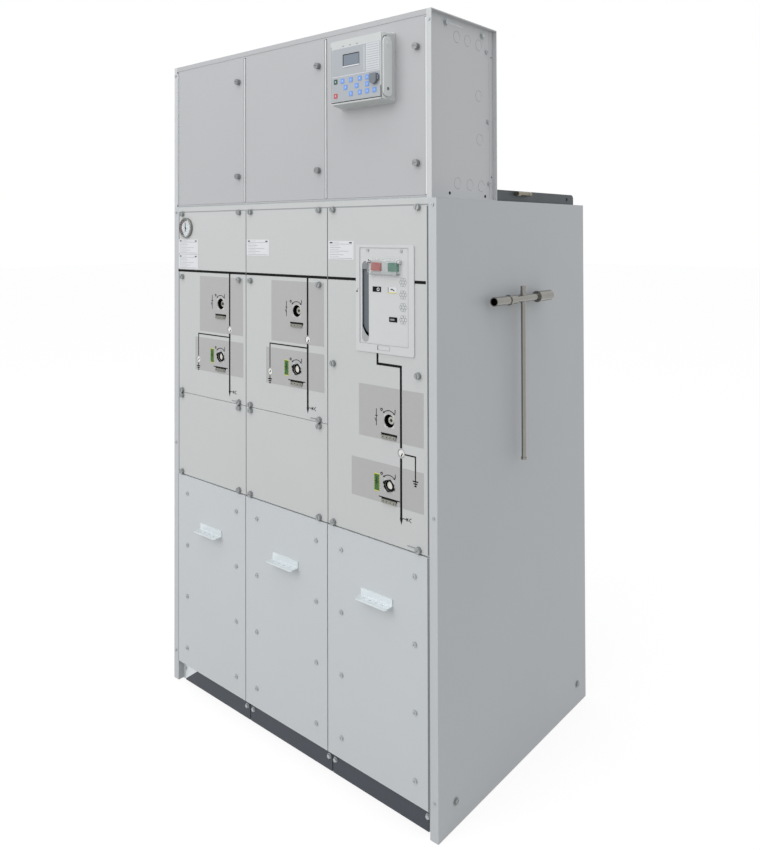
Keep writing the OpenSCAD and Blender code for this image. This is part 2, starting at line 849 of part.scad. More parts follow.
// Stiles behind the seams of the doors
module lv_stiles() {
  color("#b7babb") on_top() for (x = [bay_right(0), bay_right(1)]) difference() {
    translate([x - stile_w / 2, door_d + door_gap, lv_z + sheet]) cube([stile_w, stile_d, lv_h - 2 * sheet]);
    translate([x - stile_w / 2 + sheet, door_d + door_gap + sheet, lv_z + sheet - eps])
      cube([stile_w - 2 * sheet, stile_d, lv_h]);
  }
}

// Pins that the doors turn on, at the rail and at the floor
module lv_hinge_pins() {
  color("#8f9394") on_top() for (i = [0 : bays - 1]) translate([door_left(i) + roll_r, roll_r, 0]) {
    translate([0, 0, lv_z + sheet]) cylinder(r = pin_r, h = pin_len);
    translate([0, 0, lv_top - lv_rail_h - pin_len]) cylinder(r = pin_r, h = pin_len);
  }
}

// Plan of a door with a rolled edge of radius r about the hinge pin, set in by a wall
module door_plan(wall) {
  r = roll_r - wall;
  translate([roll_r, roll_r]) circle(r = r);
  translate([wall, roll_r]) square([door_w - 2 * wall, door_d - roll_r]);
  translate([roll_r, wall]) square([door_w - roll_r - wall, door_d - wall]);
}

module lv_door(i) {
  color("#bfc2c3") on_top() translate([door_left(i), 0, door_z]) difference() {
    linear_extrude(height = door_h) door_plan(0);
    translate([0, 0, sheet]) linear_extrude(height = door_h - 2 * sheet) {
      door_plan(sheet);
      translate([sheet, door_d - 2 * sheet]) square([door_w - 2 * sheet, 3 * sheet]);
    }
    for (z = [-eps, door_h - sheet - eps]) translate([roll_r, roll_r, z])
      cylinder(r = pin_r + run_clear, h = sheet + 2 * eps);
    if (i == relay_bay) translate([-door_left(i), -eps, -door_z]) relay_cut();
  }
}

// Opening of the door for the relay's body
module relay_cut() {
  at = relay_corner(relay_body_in - relay_cut_clear);
  w = relay_inner(relay_w) + 2 * relay_cut_clear;
  h = relay_inner(relay_h) + 2 * relay_cut_clear;
  translate([at[0], -eps, at[1]]) cube([w, sheet + 4 * eps, h]);
}

function relay_corner(inset) = [
  bay_x(relay_bay) - relay_x - relay_w / 2 + inset,
  lv_z + relay_z - relay_h / 2 + inset
];
function relay_inner(size) = size - 2 * relay_body_in;

// Slotted quarter-turn locks near a door's free edge
module door_locks(i) {
  color("#85898a") on_top() for (z = [lock_low, lock_high]) difference() {
    along_y(lock_r, lock_len, [bay_right(i) - lock_in, lv_z + z], -lock_len);
    translate([bay_right(i) - lock_in, -lock_len, lv_z + z])
      cube([2 * lock_r + 1, 3, lock_slot], center = true);
  }
}

// A thin plate of the relay's outline, set in by an inset, at a depth
module relay_layer(inset, y, t) {
  at = relay_corner(inset);
  upright(y, t) translate(at) round_rect(relay_w - 2 * inset, relay_h - 2 * inset, relay_round, $fn = 24);
}

// Relay: flange on the door, tapered front and the body behind the door
module relay_housing() {
  at = relay_corner(relay_body_in);
  color("#b3b8bb") on_top() {
    relay_layer(0, -relay_flange_t, relay_flange_t);
    hull() {
      relay_layer(1.5, -relay_flange_t - 1, 1);
      relay_layer(relay_taper, -relay_proud, 1);
    }
    translate([at[0], -eps, at[1]]) cube([relay_inner(relay_w), relay_body_d, relay_inner(relay_h)]);
  }
}

// Membrane keys on the relay's front
module relay_keys() {
  at = relay_corner(-key_size / 2);
  color("#4f83d6") on_top() for (k = relay_key_grid())
    translate([at[0] + k[0], -relay_proud - key_t, at[1] + k[1]]) cube([key_size, key_t, key_size]);
}

// Places of the keys from the relay's lower left corner: three staggered rows and a column at the left
function relay_key_grid() = concat(
  [for (x = [0 : 3]) [key_in[2] + key_pitch * x, key_rows[2]]],
  [for (x = [0 : 2]) [key_in[1] + key_wide * x, key_rows[1]]],
  [for (x = [0 : 3]) [key_in[0] + key_pitch * x, key_rows[0]]],
  [for (z = [key_rows[0], key_rows[2]]) [key_side, z]]
);

// Cover of the relay's service port
module relay_port_cover() {
  at = relay_corner(0);
  color("#7c8189") on_top() translate([at[0] + relay_w - port_in, 0, at[1] + port_up])
    along_y(port_r, port_t, [0, 0], -relay_proud - port_t);
}

// Operating lever: cross head with a socket at each end, a short top and a rod
module operating_lever() {
  half = lever_head / 2;
  tube_y = socket_len - half - collar_w;
  color("#9b9a93") place() translate([lever_x, lever_y, lever_z]) {
    difference() {
      union() {
        along_y(lever_tube_r, lever_head - 2 * socket_len + 2 * collar_w, [0, 0], tube_y);
        along_y(small_socket_r, socket_len, [0, 0], -half);
        along_y(small_socket_r + 2, collar_w, [0, 0], tube_y);
        along_y(sleeve_r, sleeve_len, [0, 0], tube_y);
        along_y(large_socket_r, collar_w, [0, 0], half - socket_len);
        along_y(large_socket_r - 1, socket_len, [0, 0], half - socket_len);
      }
      along_y(socket_bore_r, socket_len - collar_w, [0, 0], -half - eps);
      along_y(socket_bore_r, socket_len - collar_w, [0, 0], half - socket_len + collar_w + eps);
    }
    translate([0, 0, -lever_len]) cylinder(r = rod_r, h = lever_len + nub_h - 1);
    translate([0, 0, -lever_len]) cylinder(r = rod_r + 1.5, h = foot_h);
    cylinder(r = nub_r, h = nub_h * 0.7);
    translate([0, 0, nub_h * 0.7 + nub_groove]) cylinder(r = nub_r, h = nub_h * 0.3 - nub_groove);
  }
}

// Two round magnet holders on the side panel, hollowed to the lever's tube
module lever_bracket() {
  color("#7f8384") place() difference() {
    for (side = [-1, 1]) translate([half_w, lever_y + side * holder_y, lever_z]) rotate([0, 90, 0])
      cylinder(r = holder_r, h = lever_off);
    translate([lever_x, lever_y, lever_z])
      along_y(lever_tube_r + holder_clear, 2 * holder_span, [0, 0], -holder_span);
  }
}

base_rails();
rear_sill();
front_sills();
side_panel(-1);  // side_panel_left
side_panel(1);  // side_panel_right
rear_panel();
gas_tank();
tank_lid();
lifting_plates();
gas_valve();
top_rail();
bay_partitions();
front_plate(0);  // front_plate_1
front_plate(1);  // front_plate_2
front_plate(2);  // front_plate_3
lower_plate(0);  // lower_plate_1
lower_plate(1);  // lower_plate_2
cable_cover(0);  // cable_cover_1
cable_cover(1);  // cable_cover_2
cable_cover(2);  // cable_cover_3
cover_handles();
drive_units();
shaft_sockets();
padlock_tabs();
pressure_gauge();
breaker_panel();
charging_drum();
switch_shaft(0);  // switch_shaft_1
switch_shaft(1);  // switch_shaft_2
switch_shaft(2);  // switch_shaft_3
earth_shaft(0);  // earth_shaft_1
earth_shaft(1);  // earth_shaft_2
earth_shaft(2);  // earth_shaft_3
indicator(indicator_at(0));  // switch_indicator_1
indicator(indicator_at(1));  // switch_indicator_2
indicator(indicator_at(2));  // switch_indicator_3
indicator(earth_indicator_at(0));  // earth_indicator_1
indicator(earth_indicator_at(1));  // earth_indicator_2
open_button();
close_button();
button_flap();
lv_side_walls();
lv_roof();
lv_floor();
lv_back();
lv_stiles();
lv_hinge_pins();
lv_door(0);  // lv_door_1
lv_door(1);  // lv_door_2
lv_door(2);  // lv_door_3
door_locks(0);  // door_locks_1
door_locks(1);  // door_locks_2
door_locks(2);  // door_locks_3
relay_housing();
relay_keys();
relay_port_cover();
operating_lever();
lever_bracket();
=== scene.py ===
"""Looks of a three-bay gas-insulated switchgear: finishes, prints, fasteners and studio.

Sizes are in millimetres in the cabinet's own frame (X from the middle, Y from the
front face, Z from the floor) and are turned to the part's metres where meshes are made.
"""

import logging
import math
from dataclasses import dataclass, field
from enum import Enum
from typing import Any, ClassVar, Iterable, Optional, Sequence

import bmesh
import bpy
from mathutils import Euler, Matrix, Vector


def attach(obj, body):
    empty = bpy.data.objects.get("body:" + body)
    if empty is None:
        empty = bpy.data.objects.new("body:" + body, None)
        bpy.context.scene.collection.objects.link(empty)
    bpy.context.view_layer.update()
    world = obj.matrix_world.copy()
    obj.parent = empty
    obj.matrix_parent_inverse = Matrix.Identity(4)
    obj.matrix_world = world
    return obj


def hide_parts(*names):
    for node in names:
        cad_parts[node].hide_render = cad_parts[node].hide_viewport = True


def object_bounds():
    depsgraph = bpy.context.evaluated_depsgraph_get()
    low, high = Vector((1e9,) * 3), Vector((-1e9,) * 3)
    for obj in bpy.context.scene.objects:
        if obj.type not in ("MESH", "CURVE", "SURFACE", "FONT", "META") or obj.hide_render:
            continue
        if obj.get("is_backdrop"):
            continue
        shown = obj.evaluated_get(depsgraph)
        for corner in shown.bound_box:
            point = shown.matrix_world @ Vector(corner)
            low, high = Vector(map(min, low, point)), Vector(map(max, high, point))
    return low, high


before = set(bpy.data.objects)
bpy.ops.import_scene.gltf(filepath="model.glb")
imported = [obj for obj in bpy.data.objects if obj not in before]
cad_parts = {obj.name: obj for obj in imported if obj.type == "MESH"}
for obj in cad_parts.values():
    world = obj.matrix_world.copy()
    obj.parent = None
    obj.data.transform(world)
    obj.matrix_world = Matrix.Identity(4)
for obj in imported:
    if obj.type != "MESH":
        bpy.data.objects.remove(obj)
CAD_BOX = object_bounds()

Point = tuple[float, float]
Box = tuple[float, float, float, float]  # left, right, low and high
Rows = tuple[tuple[Any, ...], ...]  # what a method takes, row by row
Tree = bpy.types.NodeTree
Socket = bpy.types.NodeSocket

LOG = logging.getLogger("switchgear")
MM = 0.001
MID_X = 21.5
MID_Y = 343.0
BAY = 325.0
BAYS = (-BAY, 0.0, BAY)
HALF_W = 510.5
COVER_FACE = -2.0
PANEL_FACE = -2.0
SILL_FACE = 16.0
REAR_FACE = 740.0
EVEN = (1.0, 1.0, 1.0)
SWITCHES: tuple[Point, ...] = ((-278.0, 1177.0), (47.0, 1177.0), (368.0, 934.0))
EARTHS: tuple[Point, ...] = ((-278.0, 1022.0), (47.0, 1022.0), (368.0, 780.0))
SIGNS: tuple[Point, ...] = ((-236.0, 1104.0), (89.0, 1104.0), (405.0, 864.0))
EARTH_SIGNS: tuple[Point, ...] = ((-385.0, 1004.0), (-60.0, 1004.0))


def linear(hex_colour: str) -> tuple[float, float, float, float]:
    """Turns an sRGB hex colour to linear light.

    Args:
        hex_colour: Colour such as "#c9cbc8".

    Returns:
        Linear red, green and blue, with an alpha of 1.
    """
    parts = [int(hex_colour[k:k + 2], 16) / 255 for k in (1, 3, 5)]
    red, green, blue = (c / 12.92 if c <= 0.04045 else ((c + 0.055) / 1.055) ** 2.4 for c in parts)
    return red, green, blue, 1.0


def add_node(tree: Tree, kind: str, links: Optional[dict[Any, Any]] = None, **settings: Any) -> bpy.types.Node:
    """Adds a node with its settings, its input values and its links.

    Args:
        tree: Node tree that gets the node.
        kind: Blender's type name of the node.
        links: Input name or index to a value, or to the output socket that feeds it.
        **settings: Properties of the node.

    Returns:
        The new node.
    """
    node = tree.nodes.new(kind)
    for name, value in settings.items():
        setattr(node, name, value)
    for key, value in (links or {}).items():
        for source in value if isinstance(value, list) else [value]:
            if isinstance(source, Socket):
                tree.links.new(source, node.inputs[key])
            else:
                node.inputs[key].default_value = source
    return node


def add_math(tree: Tree, operation: str, *values: Any) -> Socket:
    """Adds a Math node on values or sockets and returns its result."""
    return add_node(tree, "ShaderNodeMath", dict(enumerate(values)), operation=operation).outputs[0]


@dataclass(frozen=True)
class Surface:
    """A material under work: its node tree, its Principled shader and the coordinates of its patterns."""

    tree: Tree
    shader: bpy.types.Node
    place: Socket

    def noise(self, size_mm: float, detail: float) -> Socket:
        """Returns noise with patches of about a size."""
        return add_node(self.tree, "ShaderNodeTexNoise", {
            "Vector": self.place, "Scale": 1 / (size_mm * MM), "Detail": detail}).outputs["Fac"]

    def feed(self, name: str, source: Socket) -> None:
        """Links a socket to one of the shader's inputs."""
        self.tree.links.new(source, self.shader.inputs[name])

    def tint(self, pattern: Socket, colour: str, depth: float) -> None:
        """Darkens the colour along a pattern.

        Args:
            pattern: Pattern from 0 to 1.
            colour: Colour where the pattern is 0.
            depth: Share by which it falls where the pattern is 1.
        """
        pale = linear(colour)
        dark = tuple(c * (1 - depth) for c in pale[:3]) + (1.0,)
        mix = add_node(self.tree, "ShaderNodeMix", {"Factor": pattern, 6: pale, 7: dark}, data_type="RGBA")
        self.feed("Base Color", mix.outputs[2])

    def gloss(self, pattern: Socket, low: float, high: float) -> None:
        """Spreads the roughness from low to high along a pattern."""
        rough = add_node(self.tree, "ShaderNodeMapRange", {"Value": pattern, "To Min": low, "To Max": high})
        self.feed("Roughness", rough.outputs["Result"])

    def bump(self, pattern: Socket, depth_mm: float, strength: float) -> None:
        """Raises the surface along a pattern."""
        node = add_node(self.tree, "ShaderNodeBump", {
            "Height": pattern, "Distance": depth_mm * MM, "Strength": strength})
        self.feed("Normal", node.outputs["Normal"])


@dataclass(frozen=True)
class Finish:
    """A surface finish: its colour, its gloss and the pattern that breaks them up."""

    name: str
    colour: str
    roughness: float
    metallic: float = 0.0
    sheen: ClassVar[float] = 0.5
    gloss_spread: ClassVar[float] = 0.04

    def material(self) -> bpy.types.Material:
        """Returns the finish's material, made on first use."""
        made = bpy.data.materials.get(self.name)
        if made:
            return made
        made = bpy.data.materials.new(self.name)
        made.use_nodes = True
        made.diffuse_color = linear(self.colour)
        tree = made.node_tree
        shader = tree.nodes["Principled BSDF"]
        for name, value in (("Base Color", linear(self.colour)), ("Roughness", self.roughness),
                            ("Metallic", self.metallic), ("Specular IOR Level", self.sheen)):
            shader.inputs[name].default_value = value
        self.dress(Surface(tree, shader, add_node(tree, "ShaderNodeTexCoord").outputs["Object"]))
        return made

    def dress(self, surface: Surface) -> None:
        """Adds the finish's pattern; each kind of finish has its own."""
        raise NotImplementedError

    def cloud(self, surface: Surface, size_mm: float, depth: float) -> None:
        """Varies the colour and the roughness in soft clouds.

        Args:
            surface: The material under work.
            size_mm: Size of a cloud.
            depth: Share by which the colour falls at the darkest place.
        """
        noise = surface.noise(size_mm, 4.0)
        surface.tint(noise, self.colour, depth)
        surface.gloss(noise, self.roughness - self.gloss_spread, self.roughness + self.gloss_spread)


@dataclass(frozen=True)
class PowderCoat(Finish):
    """Baked powder paint on sheet steel: a satin face with a faint orange peel."""

    sheen: ClassVar[float] = 0.3
    peel_mm: ClassVar[float] = 2.2
    cloud_mm: ClassVar[float] = 320.0
    shade: ClassVar[float] = 0.05

    def dress(self, surface: Surface) -> None:
        """Adds broad shade and orange peel, drawn about twice as coarse as real so that it shows."""
        self.cloud(surface, self.cloud_mm, self.shade)
        surface.bump(surface.noise(self.peel_mm, 2.0), 0.05, 0.12)


@dataclass(frozen=True)
class WorkedSteel(Finish):
    """Bare or plated steel with fine lines along the way it was rolled, brushed or turned."""

    grain: tuple[float, float, float] = EVEN
    line_mm: float = 3.0
    shade: float = 0.16
    cloud_mm: ClassVar[float] = 45.0

    def dress(self, surface: Surface) -> None:
        """Adds stretched lines and cloudy tarnish."""
        turn = add_node(surface.tree, "ShaderNodeMapping", {"Vector": surface.place, "Scale": self.grain})
        stretched = Surface(surface.tree, surface.shader, turn.outputs["Vector"])
        self.cloud(stretched, self.cloud_mm, self.shade)
        stretched.bump(stretched.noise(self.line_mm, 3.0), 0.04, 0.15)


@dataclass(frozen=True)
class SpangledZinc(Finish):
    """Hot-dip galvanised sheet with its crystal spangle."""

    spangle_mm: ClassVar[float] = 9.0
    shade: ClassVar[float] = 0.18
    gloss_spread: ClassVar[float] = 0.08

    def dress(self, surface: Surface) -> None:
        """Adds crystal patches of slightly different grey and gloss."""
        cells = add_node(surface.tree, "ShaderNodeTexVoronoi", {
            "Vector": surface.place, "Scale": 1 / (self.spangle_mm * MM)})
        grey = add_node(surface.tree, "ShaderNodeRGBToBW", {"Color": cells.outputs["Color"]}).outputs["Val"]
        surface.tint(grey, self.colour, self.shade)
        surface.gloss(grey, self.roughness - self.gloss_spread, self.roughness + self.gloss_spread)


@dataclass(frozen=True)
class MouldedPlastic(Finish):
    """Moulded plastic with the fine spark grain of its tool."""

    grain_mm: ClassVar[float] = 0.8
    cloud_mm: ClassVar[float] = 60.0
    shade: ClassVar[float] = 0.05

    def dress(self, surface: Surface) -> None:
        """Adds the grain, drawn coarser than real so that it shows."""
        self.cloud(surface, self.cloud_mm, self.shade)
        surface.bump(surface.noise(self.grain_mm, 2.0), 0.03, 0.15)


@dataclass(frozen=True)
class PrintedFilm(Finish):
    """Printed polyester film: an even satin face with a trace of dust."""

    dust_mm: ClassVar[float] = 25.0
    shade: ClassVar[float] = 0.04

    def dress(self, surface: Surface) -> None:
        """Adds the dust."""
        self.cloud(surface, self.dust_mm, self.shade)


@dataclass(frozen=True)
class MattBlack(PrintedFilm):
    """Matt black ink or plastic, which mirrors very little."""

    sheen: ClassVar[float] = 0.12


@dataclass(frozen=True)
class ClearPlastic(Finish):
    """Clear polycarbonate with faint handling marks."""

    transmission: ClassVar[float] = 0.95
    index: ClassVar[float] = 1.35
    marks_mm: ClassVar[float] = 12.0

    def dress(self, surface: Surface) -> None:
        """Lets light through and breaks up the gloss a little."""
        surface.shader.inputs["Transmission Weight"].default_value = self.transmission
        surface.shader.inputs["IOR"].default_value = self.index
        surface.gloss(surface.noise(self.marks_mm, 3.0), self.roughness, self.roughness + 0.05)


class Coat(Enum):
    """Every finish on the switchgear."""

    FRONT = PowderCoat("powder_coat_front_plates", "#c7c9c8", 0.42)
    COVER = PowderCoat("powder_coat_cable_covers", "#c8ccce", 0.42)
    DOOR = PowderCoat("powder_coat_low_voltage_doors", "#b8b9bb", 0.42)
    LV_WALL = PowderCoat("powder_coat_low_voltage_walls", "#cccecf", 0.4)
    SIDE = PowderCoat("powder_coat_side_panels", "#c3c6c8", 0.4)
    SILL = WorkedSteel("dull_rolled_steel_sill", "#454a52", 0.45, 0.35, (12.0, 1.0, 1.0))
    ZINC = SpangledZinc("galvanised_sheet_steel", "#aeb3b5", 0.45, 0.85)
    TANK = WorkedSteel("brushed_stainless_tank", "#bcbfbf", 0.34, 0.95, (1.0, 12.0, 1.0))
    PLATE = WorkedSteel("hot_rolled_lifting_plate", "#5a5f62", 0.5, 0.7)
    HANDLE = WorkedSteel("satin_aluminium_angle", "#e0e6e8", 0.3, 0.4, (1.0, 14.0, 14.0), 2.0, 0.08)
    DRIVE = PowderCoat("dark_drive_housing_paint", "#3d4144", 0.6)
    BLACK = MattBlack("black_moulded_nylon", "#0e0f0f", 0.6)
    SHAFT = WorkedSteel("turned_steel_shaft", "#b9b9b2", 0.3, 0.9, line_mm=1.2)
    SIGN = PrintedFilm("white_indicator_film", "#e8e8e4", 0.45)
    PANEL = MouldedPlastic("light_grey_moulded_panel", "#cecfcf", 0.4)
    DRUM = MouldedPlastic("grey_moulded_drum", "#565b60", 0.42)
    RED = MouldedPlastic("red_moulded_button", "#b4423d", 0.3)
    GREEN = MouldedPlastic("green_moulded_button", "#2f7a62", 0.3)
    CLEAR = ClearPlastic("clear_polycarbonate", "#f4f7f7", 0.05)
    BRASS = WorkedSteel("turned_brass_valve", "#8c8676", 0.28, 0.9)
    RIM = WorkedSteel("turned_gauge_rim", "#8f8f8a", 0.3, 0.7)
    LEVER = WorkedSteel("nickel_plated_lever", "#92918c", 0.18, 1.0, (8.0, 1.0, 1.0), 2.0)
    NICKEL = WorkedSteel("nickel_plated_fasteners", "#a2a5a6", 0.38, 0.6, line_mm=1.5)
    LOCK = WorkedSteel("dull_nickel_door_lock", "#8f9192", 0.4, 0.45, line_mm=1.5)
    TAB = WorkedSteel("zinc_plated_padlock_tab", "#86877f", 0.5, 0.4, (12.0, 1.0, 1.0), 2.0)
    SHAFT_END = WorkedSteel("faced_steel_shaft", "#fbf8ec", 0.4, 0.1, line_mm=1.2)
    RELAY = MouldedPlastic("relay_grey_moulding", "#c8cbca", 0.45)
    RELAY_FACE = PrintedFilm("relay_front_film", "#a9aeb3", 0.38)
    BLUE = PrintedFilm("blue_membrane_key", "#6c9ae4", 0.35)
    KEY_GREEN = PrintedFilm("green_membrane_key", "#24503c", 0.35)
    KEY_RED = PrintedFilm("red_membrane_key", "#c0504a", 0.35)
    PORT = MouldedPlastic("grey_service_port", "#70767e", 0.4)
    SCREEN = PrintedFilm("unlit_liquid_crystal", "#75808c", 0.3)
    PRINT = MattBlack("black_mimic_print", "#0f1010", 0.65)
    FIELD = PrintedFilm("grey_operating_field", "#b0b0af", 0.42)
    LABEL = PrintedFilm("white_label_film", "#dcdde0", 0.4)
    RULE = PrintedFilm("grey_label_rules", "#8f9396", 0.4)
    LEAF = PrintedFilm("green_earthing_label", "#31632a", 0.45)
    YELLOW = PrintedFilm("yellow_label_border", "#d8d23c", 0.4)
    DIAL_RED = PrintedFilm("red_gauge_arc", "#a02f36", 0.4)
    # Black for painted shade: holes, recess edges and the shade inside the gauge rim.
    SHADOW = MattBlack("painted_shade_dark", "#26282a", 0.7)
    ICON = PrintedFilm("faint_grey_print", "#a3a7a8", 0.45)
    SLOT_CAP = MouldedPlastic("grey_moulded_slot_cap", "#82878a", 0.42)
    SLOT_FOOT = MouldedPlastic("pale_moulded_slot_foot", "#a5a8a9", 0.42)
    # White for painted highlights: the light on the doors' rolled edges.
    EDGE_HIGHLIGHT = MouldedPlastic("painted_highlight_edge_strip", "#f8fafa", 0.6)
    GAP = PowderCoat("shaded_plate_gap", "#6c6f70", 0.6)
    SEAM = PowderCoat("shaded_seam", "#a6a9aa", 0.6)
    SCREW = WorkedSteel("zinc_plated_screws", "#bec2c4", 0.38, 0.4, line_mm=1.5)
    SLIDE = MouldedPlastic("grey_blue_slot_slide", "#5f676d", 0.5)
    RELAY_SIDE = MouldedPlastic("relay_side_moulding", "#e2e5e4", 0.45)
    STRIP = PrintedFilm("relay_label_strip", "#cbced2", 0.4)
    KEY_MARK = PrintedFilm("pale_blue_key_mark", "#bdd0f2", 0.4)
    DIAL_FACE = PrintedFilm("white_gauge_face", "#f5f7fd", 0.4)
    GROOVE = PowderCoat("shaded_knock_out_groove", "#a9adaf", 0.5)

    def material(self) -> bpy.types.Material:
        """Returns the finish's material."""
        return self.value.material()


class Facing(Enum):
    """The way a plane faces, as the turn about Z that takes it there from the front."""

    FRONT = 0.0
    RIGHT = 90.0
    LEFT = -90.0
    BACK = 180.0

    def turn(self) -> Euler:
        """Returns the turn from a plane's own axes to the part's."""
        return Euler((math.radians(90.0), 0.0, math.radians(self.value)))


@dataclass(frozen=True)
class Plane:
    """A flat place on the cabinet: a facing and its depth along the facing's axis in the cabinet's frame."""

    facing: Facing
    depth: float

    def origin(self) -> Vector:
        """Returns where the plane's own zero lies, in the part's metres."""
        across = self.facing in (Facing.RIGHT, Facing.LEFT)
        shift = Vector((self.depth, 0.0, 0.0) if across else (0.0, self.depth, 0.0))
        return (shift - Vector((MID_X, MID_Y, 0.0))) * MM

    def matrix(self) -> Matrix:
        """Returns the transform from the plane's millimetres to the part's metres."""
        turn = self.facing.turn().to_matrix().to_4x4()
        return Matrix.Translation(self.origin()) @ turn @ Matrix.Scale(MM, 4)


def front(depth: float) -> Plane:
    """Returns a plane that faces the front."""
    return Plane(Facing.FRONT, depth)


def dressed(name: str, mesh: bpy.types.Mesh, body: str, slot: str) -> bpy.types.Object:
    """Puts a mesh in the scene as a piece that rides on a body.

    Args:
        name: Name of the piece.
        mesh: Its mesh, already in place.
        body: Body that carries it.
        slot: Name of a material slot; not used.

    Returns:
        The new object.
    """
    piece = bpy.data.objects.new(name, mesh)
    bpy.context.scene.collection.objects.link(piece)
    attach(piece, body)
    LOG.info("piece %s rides on %s with %d faces", name, body, len(mesh.polygons))
    return piece


def circle(x: float, z: float, radius: float, sides: int = 40) -> list[Point]:
    """Returns the points of a circle about (x, z)."""
    turns = [2 * math.pi * k / sides for k in range(sides)]
    return [(x + radius * math.cos(a), z + radius * math.sin(a)) for a in turns]


def round_rect(box: Box, radius: float) -> list[Point]:
    """Returns the outline of a rectangle with round corners.

    Args:
        box: The rectangle.
        radius: Radius of the corners, or 0.

    Returns:
        Points, counter-clockwise.
    """
    x0, x1, z0, z1 = box
    if radius <= 0:
        return [(x0, z0), (x1, z0), (x1, z1), (x0, z1)]
    middles = [(x1 - radius, z1 - radius, 0), (x0 + radius, z1 - radius, 90),
               (x0 + radius, z0 + radius, 180), (x1 - radius, z0 + radius, 270)]
    turns = [(mx, mz, math.radians(first + 15 * k)) for mx, mz, first in middles for k in range(7)]
    return [(mx + radius * math.cos(a), mz + radius * math.sin(a)) for mx, mz, a in turns]


def shrunk(points: Sequence[Point], inset: float) -> list[Point]:
    """Returns a convex outline drawn in towards its middle by about an inset."""
    mx = sum(p[0] for p in points) / len(points)
    mz = sum(p[1] for p in points) / len(points)
    reach_x = max(abs(p[0] - mx) for p in points)
    reach_z = max(abs(p[1] - mz) for p in points)
    return [(mx + (x - mx) * (1 - inset / reach_x), mz + (z - mz) * (1 - inset / reach_z)) for x, z in points]


def cut_out(box: Box, holes: Sequence[Box]) -> list[Box]:
    """Cuts a rectangle into strips that leave holes free.

    Args:
        box: The rectangle.
        holes: Boxes to leave free.

    Returns:
        The strips.
    """
    x0, x1, z0, z1 = box
    inside = [h for h in holes if h[1] > x0 and h[0] < x1 and h[3] > z0 and h[2] < z1]
    levels = sorted({z0, z1} | {min(max(z, z0), z1) for h in inside for z in h[2:]})
    strips = []
    for low, high in zip(levels, levels[1:]):
        left = x0
        for a, b in sorted((h[0], h[1]) for h in inside if h[2] < high and h[3] > low):
            if a > left:
                strips.append((left, a, low, high))
            left = max(left, b)
        if left < x1:
            strips.append((left, x1, low, high))
    return strips


